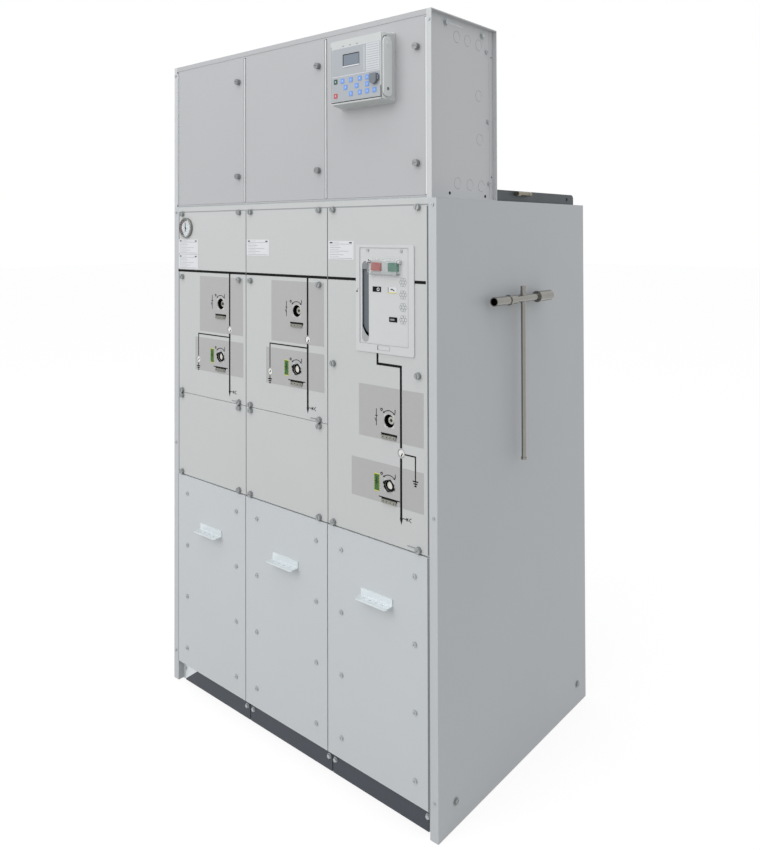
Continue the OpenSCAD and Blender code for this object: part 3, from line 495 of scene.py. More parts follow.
@dataclass
class Relief:
    """Thin raised shapes on one plane, kept together as one piece.

    In every method high is the height of the shape's face over the plane, low that of its
    foot, and edge the width of the softened edge of its face.
    """

    name: str
    plane: Plane
    body: str = "cabinet"
    slot: str = "front_paint"
    coats: list[Coat] = field(default_factory=list)
    shapes: list[tuple[list[Point], float, float, int, float]] = field(default_factory=list)
    rings: list[tuple[list[Point], list[Point], float, float, int]] = field(default_factory=list)

    def coat_index(self, coat: Coat) -> int:
        """Returns the material index of a finish, added when it is new."""
        if coat not in self.coats:
            self.coats.append(coat)
        return self.coats.index(coat)

    def shape(self, points: Sequence[Point], high: float, coat: Coat, low: float = 0.0, edge: float = 0.0) -> None:
        """Adds a flat shape with a counter-clockwise outline."""
        self.shapes.append((list(points), low, high, self.coat_index(coat), edge))

    def rect(self, box: Box, high: float, coat: Coat, low: float = 0.0, radius: float = 0.0,
             edge: float = 0.0) -> None:
        """Adds a rectangle, with round corners where a radius is given."""
        self.shape(round_rect(box, radius), high, coat, low, edge)

    def rects(self, rows: Iterable[tuple[Any, ...]]) -> None:
        """Adds rectangles from rows of what rect takes."""
        for row in rows:
            self.rect(*row)

    def line(self, points: Sequence[Point], width: float, high: float, coat: Coat, low: float = 0.0) -> None:
        """Adds a line of even width through points, square at its ends and corners.

        Args:
            points: Corners of the line.
            width: Its width.
            high: Height of its face.
            coat: Its finish.
            low: Height of its foot.
        """
        last = len(points) - 2
        for k, (a, b) in enumerate(zip(points, points[1:])):
            ax, az, bx, bz = *a, *b
            length = math.hypot(bx - ax, bz - az)
            ux, uz = (bx - ax) / length, (bz - az) / length
            trim = width / 2 if k > 0 else 0.0
            grow = width / 2 if k < last else 0.0
            ax, az, bx, bz = ax + ux * trim, az + uz * trim, bx + ux * grow, bz + uz * grow
            nx, nz = -uz * width / 2, ux * width / 2
            self.shape([(ax - nx, az - nz), (bx - nx, bz - nz), (bx + nx, bz + nz), (ax + nx, az + nz)],
                       high, coat, low)

    def disc(self, x: float, z: float, radius: float, high: float, coat: Coat, low: float = 0.0,
             edge: float = 0.0, sides: int = 40) -> None:
        """Adds a disc about (x, z)."""
        self.shape(circle(x, z, radius, sides), high, coat, low, edge)

    def ring(self, x: float, z: float, outer: float, inner: float, high: float, coat: Coat,
             low: float = 0.0, start: float = 0.0, end: float = 360.0) -> None:
        """Adds a ring, or an arc of one.

        Args:
            x: Middle across.
            z: Middle upwards.
            outer: Outer radius.
            inner: Inner radius.
            high: Height of its face.
            coat: Its finish.
            low: Height of its foot.
            start: First angle in degrees, from the right, counter-clockwise.
            end: Last angle in degrees.
        """
        steps = max(8, int((end - start) / 9))
        angles = [math.radians(start + (end - start) * k / steps) for k in range(steps + 1)]
        out, inn = ([(x + r * math.cos(a), z + r * math.sin(a)) for a in angles] for r in (outer, inner))
        self.rings.append((out, inn, low, high, self.coat_index(coat)))

    def build(self) -> bpy.types.Object:
        """Makes the mesh and returns its object."""
        form = bmesh.new()
        for points, low, high, index, edge in self.shapes:
            stack = [[form.verts.new((x, z, h)) for x, z in points] for h in (low, high - edge)]
            if edge > 0:
                stack.append([form.verts.new((x, z, high)) for x, z in shrunk(points, edge)])
            count = len(points)
            for lower, upper in zip(stack, stack[1:]):
                for k in range(count):
                    n = (k + 1) % count
                    form.faces.new((lower[k], lower[n], upper[n], upper[k])).material_index = index
            form.faces.new(stack[-1]).material_index = index
            form.faces.new(list(reversed(stack[0]))).material_index = index
        for out, inn, low, high, index in self.rings:
            self.add_ring(form, out, inn, low, high, index)
        bmesh.ops.recalc_face_normals(form, faces=form.faces)
        form.transform(self.plane.matrix())
        mesh = bpy.data.meshes.new(self.name)
        form.to_mesh(mesh)
        form.free()
        for coat in self.coats:
            mesh.materials.append(coat.material())
        return dressed(self.name, mesh, self.body, self.slot)

    @staticmethod
    def add_ring(form: bmesh.types.BMesh, out: list[Point], inn: list[Point], low: float, high: float,
                 index: int) -> None:
        """Adds a ring's four walls and, on an arc, its two ends.

        Args:
            form: Mesh that gets the ring.
            out: Points of the outer edge.
            inn: Points of the inner edge.
            low: Height of its foot.
            high: Height of its face.
            index: Material index.
        """
        closed = math.dist(out[0], out[-1]) < 1e-6
        count = len(out) - 1 if closed else len(out)
        loops = [[form.verts.new((x, z, h)) for x, z in edge[:count]]
                 for edge, h in ((out, low), (out, high), (inn, high), (inn, low))]
        for a, b in zip(loops, loops[1:] + loops[:1]):
            for k in range(count if closed else count - 1):
                n = (k + 1) % count
                form.faces.new((a[k], a[n], b[n], b[k])).material_index = index
        if not closed:
            for k in (0, count - 1):
                form.faces.new([loop[k] for loop in loops]).material_index = index


@dataclass(frozen=True)
class Fastener:
    """A screw or bolt head on a washer, set out by Geometry Nodes."""

    head_r: float
    head_h: float
    sides: int
    washer_r: float
    washer_h: float
    slot_w: float
    slot_d: float
    coat: Coat = Coat.NICKEL
    crossed: bool = False

    FLOATS: ClassVar[tuple[str, ...]] = (
        "Head Radius", "Head Height", "Washer Radius", "Washer Height", "Slot Width", "Slot Depth")
    WASHER_SIDES: ClassVar[int] = 32

    def tree(self) -> Tree:
        """Returns the node tree that sets a head out on every point, made on first use."""
        kind = "crossed_head_screws" if self.crossed else "slotted_head_screws"
        made = bpy.data.node_groups.get(kind)
        if made:
            return made
        tree = bpy.data.node_groups.new(kind, "GeometryNodeTree")
        for sort, names in (("Geometry", ("Points",)), ("Float", self.FLOATS), ("Int", ("Sides", "Seed")),
                            ("Vector", ("Turn", "Place")), ("Material", ("Finish",))):
            for name in names:
                tree.interface.new_socket(name, in_out="INPUT", socket_type=f"NodeSocket{sort}")
        tree.interface.new_socket("Screws", in_out="OUTPUT", socket_type="NodeSocketGeometry")
        given = add_node(tree, "NodeGroupInput").outputs
        cut = self.solid(tree, given["Sides"], given["Head Radius"], given["Head Height"], given["Washer Height"])
        washer = self.solid(tree, self.WASHER_SIDES, given["Washer Radius"], given["Washer Height"], 0.0)
        top = add_math(tree, "ADD", given["Head Height"], given["Washer Height"])
        lift = add_node(tree, "ShaderNodeCombineXYZ", {"Z": top})
        reach = 1.2 if self.crossed else 4.0
        size = add_node(tree, "ShaderNodeCombineXYZ", {
            "X": add_math(tree, "MULTIPLY", given["Head Radius"], reach), "Y": given["Slot Width"],
            "Z": add_math(tree, "MULTIPLY", given["Slot Depth"], 2.0)})
        cutter = add_node(tree, "GeometryNodeMeshCube", {"Size": size.outputs[0]})
        for angle in (0.0, math.pi / 2) if self.crossed else (0.0,):
            slot = add_node(tree, "GeometryNodeTransform", {
                "Geometry": cutter.outputs["Mesh"], "Translation": lift.outputs[0], "Rotation": (0.0, 0.0, angle)})
            cut = add_node(tree, "GeometryNodeMeshBoolean", {"Mesh 1": cut, "Mesh 2": slot.outputs[0]},
                           operation="DIFFERENCE", solver="EXACT").outputs["Mesh"]
        whole = add_node(tree, "GeometryNodeJoinGeometry", {"Geometry": [cut, washer]})
        spin = add_node(tree, "FunctionNodeRandomValue", {
            0: (0.0, 0.0, 0.0), 1: (0.0, 0.0, math.tau), "Seed": given["Seed"]}, data_type="FLOAT_VECTOR")
        copies = add_node(tree, "GeometryNodeInstanceOnPoints", {
            "Points": given["Points"], "Instance": whole.outputs[0], "Rotation": spin.outputs[0]})
        turned = add_node(tree, "GeometryNodeTransform", {
            "Geometry": copies.outputs[0], "Translation": given["Place"], "Rotation": given["Turn"]})
        real = add_node(tree, "GeometryNodeRealizeInstances", {"Geometry": turned.outputs[0]})
        painted = add_node(tree, "GeometryNodeSetMaterial", {
            "Geometry": real.outputs[0], "Material": given["Finish"]})
        add_node(tree, "NodeGroupOutput", {"Screws": painted.outputs[0]})
        return tree

    @staticmethod
    def solid(tree: Tree, sides: Any, radius: Any, height: Any, foot: Any) -> Socket:
        """Adds a cylinder that stands on a foot height.

        Args:
            tree: Tree that gets the nodes.
            sides: Number of sides, or the socket that gives it.
            radius: Radius, or its socket.
            height: Height, or its socket.
            foot: Height of its foot, or its socket.

        Returns:
            The socket that gives the cylinder.
        """
        body = add_node(tree, "GeometryNodeMeshCylinder", {"Vertices": sides, "Radius": radius, "Depth": height})
        rise = add_node(tree, "ShaderNodeCombineXYZ", {"Z": add_math(tree, "MULTIPLY_ADD", height, 0.5, foot)})
        return add_node(tree, "GeometryNodeTransform", {
            "Geometry": body.outputs["Mesh"], "Translation": rise.outputs[0]}).outputs[0]

    def fit(self, name: str, plane: Plane, points: Iterable[Point], seed: int) -> None:
        """Sets the fastener out on points of a plane, as a plain mesh.

        Args:
            name: Name of the piece.
            plane: Plane that the heads stand on.
            points: Places of the heads on it.
            seed: Seed of the heads' turns.
        """
        mesh = bpy.data.meshes.new(f"{name}_points")
        mesh.from_pydata([(x * MM, z * MM, 0.0) for x, z in points], [], [])
        holder = bpy.data.objects.new(f"{name}_points", mesh)
        bpy.context.scene.collection.objects.link(holder)
        modifier = holder.modifiers.new("screws", "NODES")
        modifier.node_group = self.tree()
        values: dict[str, Any] = dict(zip(self.FLOATS, (v * MM for v in (
            self.head_r, self.head_h, self.washer_r, self.washer_h, self.slot_w, self.slot_d))))
        values |= {"Sides": self.sides, "Seed": seed, "Turn": tuple(plane.facing.turn()),
                   "Place": tuple(plane.origin()), "Finish": self.coat.material()}
        for item in modifier.node_group.interface.items_tree:
            if item.in_out == "INPUT" and item.name in values:
                modifier[item.identifier] = values[item.name]
        view = bpy.context.evaluated_depsgraph_get()
        plain = bpy.data.meshes.new_from_object(holder.evaluated_get(view), depsgraph=view)
        holder.modifiers.clear()
        bpy.data.objects.remove(holder)
        plain.name = name
        dressed(name, plain, "cabinet", "lock_steel")


FRONT = front(0.0)
COVERS = front(COVER_FACE)
KNOB = Fastener(7.5, 7.0, 24, 8.4, 1.2, 1.6, 1.6)
PAN_HEAD = Fastener(5.2, 2.6, 24, 7.0, 0.9, 1.4, 1.3, Coat.SCREW, True)
SMALL_HEAD = Fastener(3.6, 1.8, 20, 4.6, 0.5, 1.0, 0.9, Coat.SCREW, True)
BIG_HEAD = Fastener(7.0, 3.4, 28, 10.0, 1.0, 1.9, 1.6)
HEX_BOLT = Fastener(6.5, 4.5, 6, 9.0, 1.4, 0.6, 0.3, Coat.SCREW)
SILL_BOLT = Fastener(5.4, 4.0, 6, 6.6, 1.0, 0.6, 0.3, Coat.SCREW)


@dataclass
class CadFinishes:
    """Finishes of the solids that come with the frame, whose numbers the names here leave out."""

    solids: ClassVar[dict[Coat, str]] = {
        Coat.ZINC: "base_rails rear_sill bay_partitions lv_floor lever_bracket",
        Coat.DOOR: "lv_stiles lv_roof lv_door", Coat.SIDE: "lv_back rear_panel side_panel",
        Coat.SILL: "front_sills", Coat.LV_WALL: "lv_side_walls", Coat.TANK: "gas_tank tank_lid",
        Coat.PLATE: "lifting_plates", Coat.BRASS: "gas_valve", Coat.FRONT: "top_rail front_plate lower_plate",
        Coat.COVER: "cable_cover", Coat.HANDLE: "cover_handles", Coat.DRIVE: "drive_units",
        Coat.BLACK: "shaft_sockets", Coat.TAB: "padlock_tabs", Coat.RIM: "pressure_gauge",
        Coat.PANEL: "breaker_panel", Coat.DRUM: "charging_drum", Coat.SHAFT: "switch_shaft lv_hinge_pins",
        Coat.SHAFT_END: "earth_shaft", Coat.SIGN: "switch_indicator earth_indicator", Coat.RED: "open_button",
        Coat.GREEN: "close_button", Coat.CLEAR: "button_flap", Coat.LOCK: "door_locks",
        Coat.RELAY: "relay_housing", Coat.BLUE: "relay_keys", Coat.PORT: "relay_port_cover",
        Coat.LEVER: "operating_lever",
    }

    def build(self) -> None:
        """Puts a finish on every solid."""
        coats = {name: coat for coat, names in self.solids.items() for name in names.split()}
        for name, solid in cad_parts.items():
            coat = coats[name if name in coats else name.rsplit("_", 1)[0]]
            solid.data.materials.clear()
            solid.data.materials.append(coat.material())
            LOG.info("solid %s gets %s", name, coat.value.name)


class Turn(Enum):
    """Kinds of operating socket."""

    SWITCH = "switch"
    EARTH = "earth"


@dataclass
class MimicDiagram:
    """Single-line diagram, operating fields and labels printed on the front plates."""

    film: float = 0.25
    ink: float = 0.5
    bus_z: float = 1270.0
    bus_w: float = 7.0
    line_w: float = 6.0
    branch_w: float = 3.2
    branch_z: float = 1082.0
    earth_z: float = 984.0
    arrow_z: float = 926.0
    window_r: Point = (10.6, 9.05)
    label_t: float = 0.35
    label_rules: tuple[float, ...] = (0.94, 0.6, 0.8, 0.5, 0.94)
    buses: tuple[Point, ...] = ((-489.0, -164.2), (-160.8, 160.8))
    labels: tuple[tuple[Box, ...], ...] = (
        ((-487, -389, 1276, 1319), (-487, -389, 1322, 1366)), ((-159, -64, 1322, 1367),),
        ((166, 254, 1318, 1365),))

    def build(self) -> None:
        """Makes one piece for each bay."""
        for bay in range(len(BAYS)):
            art = Relief(f"mimic_diagram_{bay + 1}", FRONT)
            if bay < len(self.buses):
                self.switch_bay(art, bay)
            else:
                self.breaker_bay(art)
            self.dial(art, *SWITCHES[bay], Turn.SWITCH)
            self.dial(art, *EARTHS[bay], Turn.EARTH)
            for box in self.labels[bay]:
                self.label(art, box)
            art.build()

    def switch_bay(self, art: Relief, bay: int) -> None:
        """Prints a switch bay's lines and fields.

        Args:
            art: Relief that gets them.
            bay: Index of the bay.
        """
        mid, (left, right) = BAYS[bay], self.buses[bay]
        (x, sign_z), (side, side_z) = SIGNS[bay], EARTH_SIGNS[bay]
        self.grey(art, (mid - 54, mid + 149, 1091, 1256))
        self.grey(art, (mid - 76, mid + 150, 972, 1071))
        self.stroke(art, self.bus_w, (left, self.bus_z), (right, self.bus_z))
        self.stroke(art, self.line_w, (x, self.bus_z - self.bus_w / 2), (x, sign_z + 11))
        self.stroke(art, self.line_w, (x, sign_z - 11), (x, self.arrow_z))
        self.stroke(art, self.branch_w, (x - self.line_w / 2, self.branch_z), (side, self.branch_z),
                    (side, side_z + 10.5))
        self.stroke(art, self.branch_w, (side, side_z - 10.5), (side, self.earth_z))
        self.window(art, x, sign_z)
        self.window(art, side, side_z)
        self.arrow(art, x, self.arrow_z)
        self.earth(art, side, self.earth_z)
        self.cable_end(art, mid + 111, self.arrow_z)
        self.leaf(art, mid + 7, EARTHS[bay][1])

    def breaker_bay(self, art: Relief) -> None:
        """Prints the breaker bay's lines and fields."""
        x, sign_z = SIGNS[-1]
        self.grey(art, (271, 472, 887, 1014))
        self.grey(art, (246, 472, 735, 830))
        for left, right in ((164.2, 263.5), (447.5, 480)):
            self.stroke(art, self.bus_w, (left, self.bus_z), (right, self.bus_z))
        self.stroke(art, self.line_w, (332, 1093.6), (332, 1068), (x, 1068), (x, sign_z + 12))
        self.stroke(art, self.line_w, (x, sign_z - 12), (x, 711))
        self.stroke(art, self.branch_w, (416.5, 863), (448, 863), (448, 806))
        self.window(art, x, sign_z)
        self.arrow(art, x, 711)
        self.earth(art, 448, 806)
        self.cable_end(art, 427, 712)
        self.leaf(art, 329, 781)

    def stroke(self, art: Relief, width: float, *points: Point) -> None:
        """Prints a black line through points."""
        art.line(points, width, self.ink, Coat.PRINT)

    def grey(self, art: Relief, box: Box) -> None:
        """Adds a grey operating field, which leaves the plate's openings free."""
        art.rects((strip, self.film, Coat.FIELD) for strip in cut_out(box, self.holes()))

    @staticmethod
    def holes() -> list[Box]:
        """Returns the boxes of the plates' openings."""
        shafts = SWITCHES + EARTHS
        return ([(x - 16, x + 16, z - 16, z + 16) for x, z in shafts]
                + [(x - 25.5, x + 25.5, z - 38, z - 32) for x, z in shafts]
                + [(x - 9.5, x + 9.5, z - 9.5, z + 9.5) for x, z in SIGNS + EARTH_SIGNS])

    def window(self, art: Relief, x: float, z: float) -> None:
        """Prints the ring about an indicator's window."""
        art.ring(x, z, *self.window_r, self.ink, Coat.ICON)

    def arrow(self, art: Relief, x: float, z: float) -> None:
        """Adds the arrow that ends a line downwards."""
        art.shape([(x - 4.5, z), (x, z - 15), (x + 4.5, z)], self.ink, Coat.PRINT)

    def earth(self, art: Relief, x: float, z: float) -> None:
        """Adds an earth symbol, three shortening bars."""
        self.stroke(art, 1.6, (x, z), (x, z - 11))
        for k, half in enumerate((8.0, 5.6, 3.2)):
            self.stroke(art, 2.9, (x - half, z - 5.5 * k), (x + half, z - 5.5 * k))

    def cable_end(self, art: Relief, x: float, z: float) -> None:
        """Adds a cable-end symbol: a crossed stroke beside the line."""
        self.stroke(art, 1.6, (x - 18, z), (x - 2, z))
        for lean in (-1, 1):
            self.stroke(art, 1.4, (x - 7, z - 4 * lean), (x - 1, z + 4 * lean))
            self.stroke(art, 1.4, (x + 1, z), (x + 8, z + 5 * lean))

    def leaf(self, art: Relief, x: float, z: float) -> None:
        """Adds the green earthing label with its yellow border and a plain earth mark."""
        border = self.film + self.label_t
        art.rect((x - 8.5, x + 8.5, z - 21, z + 21), border, Coat.YELLOW, radius=1.5)
        high = border + 0.15
        art.rect((x - 6.9, x + 6.9, z - 19.4, z + 19.4), high, Coat.LEAF, low=self.film, radius=1.0)
        for k in range(10):
            tooth = z - 19 + 4 * k
            for inner, outer in ((x - 8.5, x - 6.8), (x + 6.8, x + 8.5)):
                art.rect((inner, outer, tooth, tooth + 1.8), high, Coat.LEAF, low=self.film)
        art.line([(x, z + 13), (x, z + 2)], 1.6, high + 0.15, Coat.PRINT, low=high - 0.05)
        for k, half in enumerate((5.0, 3.2, 1.5)):
            bar = z + 2 - 3.4 * k
            art.line([(x - half, bar), (x + half, bar)], 1.4, high + 0.15, Coat.PRINT, low=high - 0.05)

    def label(self, art: Relief, box: Box) -> None:
        """Adds a blank label with plain rules and two dark bars.

        Args:
            art: Relief that gets it.
            box: Edges of the label.
        """
        x0, x1, z0, z1 = box
        art.rect(box, self.label_t, Coat.LABEL, radius=1.5)
        low, high = self.label_t - 0.05, self.label_t + 0.1
        pitch = (z1 - z0 - 11) / (len(self.label_rules) - 1)
        for x in (x0 + 5, x1 - 15):
            art.rect((x, x + 9, z1 - 6, z1 - 3), high, Coat.PRINT, low=low)
        for k, reach in enumerate(self.label_rules):
            z = z0 + 3 + pitch * k
            for share, rule_z, width in ((reach, z, 0.8), (0.42, z + 0.5 * pitch, 0.6)):
                art.line([(x0 + 5, rule_z), (x0 + share * (x1 - x0), rule_z)], width, high, Coat.RULE, low=low)

    def dial(self, art: Relief, x: float, z: float, kind: Turn) -> None:
        """Prints the marks around a socket: an arrowed arc, 0 and I, and a switch's own symbol.

        Args:
            art: Relief that gets them.
            x: Middle of the socket.
            z: Its height.
            kind: Switch or earthing socket.
        """
        reach, high, first, last = 25.0, self.ink, 54.0, 126.0
        art.ring(x, z, reach + 0.9, reach - 0.9, high, Coat.PRINT, start=first, end=last)
        for angle, lead in ((first, -90.0), (last, 90.0)):
            a, d = math.radians(angle), math.radians(angle + lead)
            px, pz = x + reach * math.cos(a), z + reach * math.sin(a)
            tip = (px + 6 * math.cos(d), pz + 6 * math.sin(d))
            side = (2.8 * math.cos(a), 2.8 * math.sin(a))
            ends = [(px - side[0], pz - side[1]), tip, (px + side[0], pz + side[1])]
            art.shape(ends if lead > 0 else list(reversed(ends)), high, Coat.PRINT)
        art.ring(x - 23.5, z + 25, 3.7, 1.7, high, Coat.PRINT)
        self.stroke(art, 2.0, (x + 19, z + 21), (x + 19, z + 30))
        half = 25.5 if kind is Turn.SWITCH else 33.0
        art.rect((x - half, x + half, z - 32.4, z - 30.0), high, Coat.PRINT)
        if kind is Turn.SWITCH:
            sx = x - 40
            for start, end in (((sx, z + 25), (sx, z - 16)), ((sx - 4, z + 8), (sx + 4, z + 8)),
                               ((sx - 5, z + 2), (sx, z - 7))):
                self.stroke(art, 1.8, start, end)


@dataclass
class SocketTrim:
    """Rings about the earthing sockets and the marks on the indicator discs."""

    ring_r: float = 13.6
    bore_r: float = 12.1
    disc_y: float = 7.0
    cap_r: float = 8.6
    cap_h: float = 6.4
    bar_half: float = 4.2
    bar_w: float = 2.8

    def build(self) -> None:
        """Makes the rings and the discs' marks."""
        rings = Relief("socket_rings", FRONT, slot="socket_black")
        for x, z in EARTHS:
            rings.ring(x, z, self.ring_r, self.bore_r, 3.6, Coat.BLACK, low=2.9)
        rings.build()
        for kind, places, angle, shift in (("switch", SIGNS, 62.0, (1.5, -3.5)),
                                           ("earth", EARTH_SIGNS, 48.0, (0.0, 0.0))):
            for number, place in enumerate(places, 1):
                mark = Relief(f"{kind}_sign_bar_{number}", front(self.disc_y), f"{kind}_sign_{number}",
                              "indicator_white")
                self.bar(mark, place, angle, shift)

    def bar(self, mark: Relief, place: Point, angle: float, shift: Point) -> None:
        """Makes the white face of an indicator disc with its black bar.

        Args:
            mark: Empty relief on the disc.
            place: Middle of the disc.
            angle: The bar's turn from level, in degrees.
            shift: Place of the bar's middle from the disc's.
        """
        mark.disc(*place, self.cap_r, self.cap_h, Coat.SIGN, edge=0.5)
        x, z = place[0] + shift[0], place[1] + shift[1]
        dx, dz = self.bar_half * math.cos(math.radians(angle)), self.bar_half * math.sin(math.radians(angle))
        mark.line([(x - dx, z - dz), (x + dx, z + dz)], self.bar_w, self.cap_h + 0.2, Coat.PRINT,
                  low=self.cap_h - 0.1)
        mark.build()


@dataclass
class PressureGauge:
    """Face, needle and glass of the gas pressure gauge."""

    x: float = -446.0
    z: float = 1402.0
    face_y: float = -4.0
    glass_y: float = -6.6
    face_r: float = 26.8
    ink_low: float = 0.3
    ink_high: float = 0.65

    def build(self) -> None:
        """Makes the gauge's face and glass."""
        x, z, low, high = self.x, self.z, self.ink_low, self.ink_high
        face = Relief("gauge_face", front(self.face_y), slot="gauge_grey")
        face.disc(x, z, self.face_r, 0.4, Coat.DIAL_FACE, sides=64)
        # Black arc: painted shade of the rim on the left of the face.
        face.ring(x, z, 26.4, 21.4, high, Coat.SHADOW, low=low, start=72, end=250)
        face.ring(x, z, 21.4, 18.4, high, Coat.DIAL_RED, low=low, start=95, end=235)
        for k in range(5):
            a = math.radians(-60 + 30 * k)
            tick = [(x + r * math.cos(a), z + r * math.sin(a)) for r in (21.8, 24)]
            face.line(tick, 0.8, high, Coat.RULE, low=low)
        face.line([(x + 1, z - 11), (x - 1, z + 16)], 3.0, 1.6, Coat.PRINT, low=1.1)
        face.disc(x, z, 3.6, 2.0, Coat.PRINT, low=low, edge=0.4)
        face.build()
        glass = Relief("gauge_glass", front(self.glass_y), slot="flap_clear")
        glass.disc(x, z, self.face_r, 0.9, Coat.CLEAR, edge=0.3, sides=64)
        glass.build()


@dataclass
class BreakerFace:
    """Windows, marks and bosses on the raised breaker panel."""

    rim_y: float = -3.0
    slide_y: float = 2.95
    icon_x: float = 414.0
    icon_z: tuple[float, ...] = (1268.0, 1238.6, 1209.0, 1179.7)
    slot_x: float = 295.0
    slot_half: float = 10.7
    slot_top: float = 1305.0
    slot_foot: float = 1129.0
    face_rects: Rows = (
        ((318, 347, 1240.5, 1256.5), 0.6, Coat.PANEL, 0.0, 1.5, 0.3),
        ((319, 346, 1242, 1255), 0.8, Coat.PRINT, 0.3),
        ((367, 395.5, 1240, 1256.5), 0.6, Coat.PANEL, 0.0, 1.5, 0.3),
        ((368, 394.5, 1243, 1255.5), 0.8, Coat.LABEL, 0.3),
        ((368, 394.5, 1241, 1243), 0.8, Coat.YELLOW, 0.3),
        ((368, 369.5, 1242, 1254.5), 0.9, Coat.PRINT, 0.3),
        ((371, 396, 1172, 1184), 1.0, Coat.BLACK, 0.0, 1.5, 0.4),
        ((375, 388, 1176, 1180), 1.15, Coat.RULE, 0.9))
    rim_rects: Rows = (
        ((336, 373.5, 1101.9, 1112.6), 0.3, Coat.RULE, 0.0, 1.5),
        ((336.5, 373, 1102.5, 1112), 0.5, Coat.PANEL, 0.0, 1.5, 0.2),
        ((335, 336.6, 1102, 1112.5), 0.7, Coat.PRINT))

    def build(self) -> None:
        """Makes the panel's small pieces."""
        face = Relief("breaker_panel_marks", front(PANEL_FACE), slot="panel_grey")
        face.rects(self.face_rects)
        face.ring(337, 1248.5, 4.4, 2.4, 0.95, Coat.LABEL, low=0.7)
        face.line([(376, 1249.5), (381, 1250.5), (388, 1246.5)], 2.6, 0.95, Coat.PRINT, low=0.7)
        for z in self.icon_z:
            for x, petal_z in circle(self.icon_x, z, 7.4, 6):
                face.ring(x, petal_z, 4.4, 3.2, 0.2, Coat.ICON)
        face.build()
        self.slot_fittings()
        rim = Relief("breaker_panel_slot_plate", front(self.rim_y), slot="panel_grey")
        for line in ([(277, 1349), (277, 1115), (430, 1115)], [(277, 1349), (430, 1349), (430, 1115)]):
            rim.line(line, 1.0, 0.15, Coat.ICON)
        rim.rects(self.rim_rects)
        # Dark disc: painted shade of a small hole.
        rim.disc(268, 1241, 2.2, 0.6, Coat.SHADOW, sides=20)
        rim.line([(269, 1244), (272, 1249)], 1.2, 0.4, Coat.RULE)
        rim.build()

    def slot_fittings(self) -> None:
        """Adds the charging slot's cap, its pale foot and the slide between them."""
        x, half = self.slot_x, self.slot_half
        left, right = x - half, x + half
        arc = [math.radians(180 * k / 16) for k in range(17)]
        ends = Relief("charging_slot_ends", FRONT, slot="drum_grey")
        top = [(x + half * math.cos(a), self.slot_top + half * math.sin(a)) for a in arc]
        ends.shape(top + [(left, 1296), (right, 1296)], 2.2, Coat.SLOT_CAP, low=0.2, edge=0.6)
        foot = [(x - half * math.cos(a), self.slot_foot - half * math.sin(a)) for a in arc]
        bow = [(right - 2 * half * k / 10, 1132 + 24 * (k / 10) ** 2) for k in range(11)]
        ends.shape(foot + bow, 1.8, Coat.SLOT_FOOT, low=0.2)
        ends.build()
        slide = Relief("charging_slot_slide", front(self.slide_y), slot="drum_grey")
        rise = [(px, pz + 3.0 + 5.0 * (px - left) / (2 * half)) for px, pz in bow]
        slide.shape(rise + [(left, 1297), (right, 1297)], 0.12, Coat.SLIDE)
        slide.rect((left - 9, left, 1160, 1297), 0.12, Coat.SLIDE)
        slide.build()


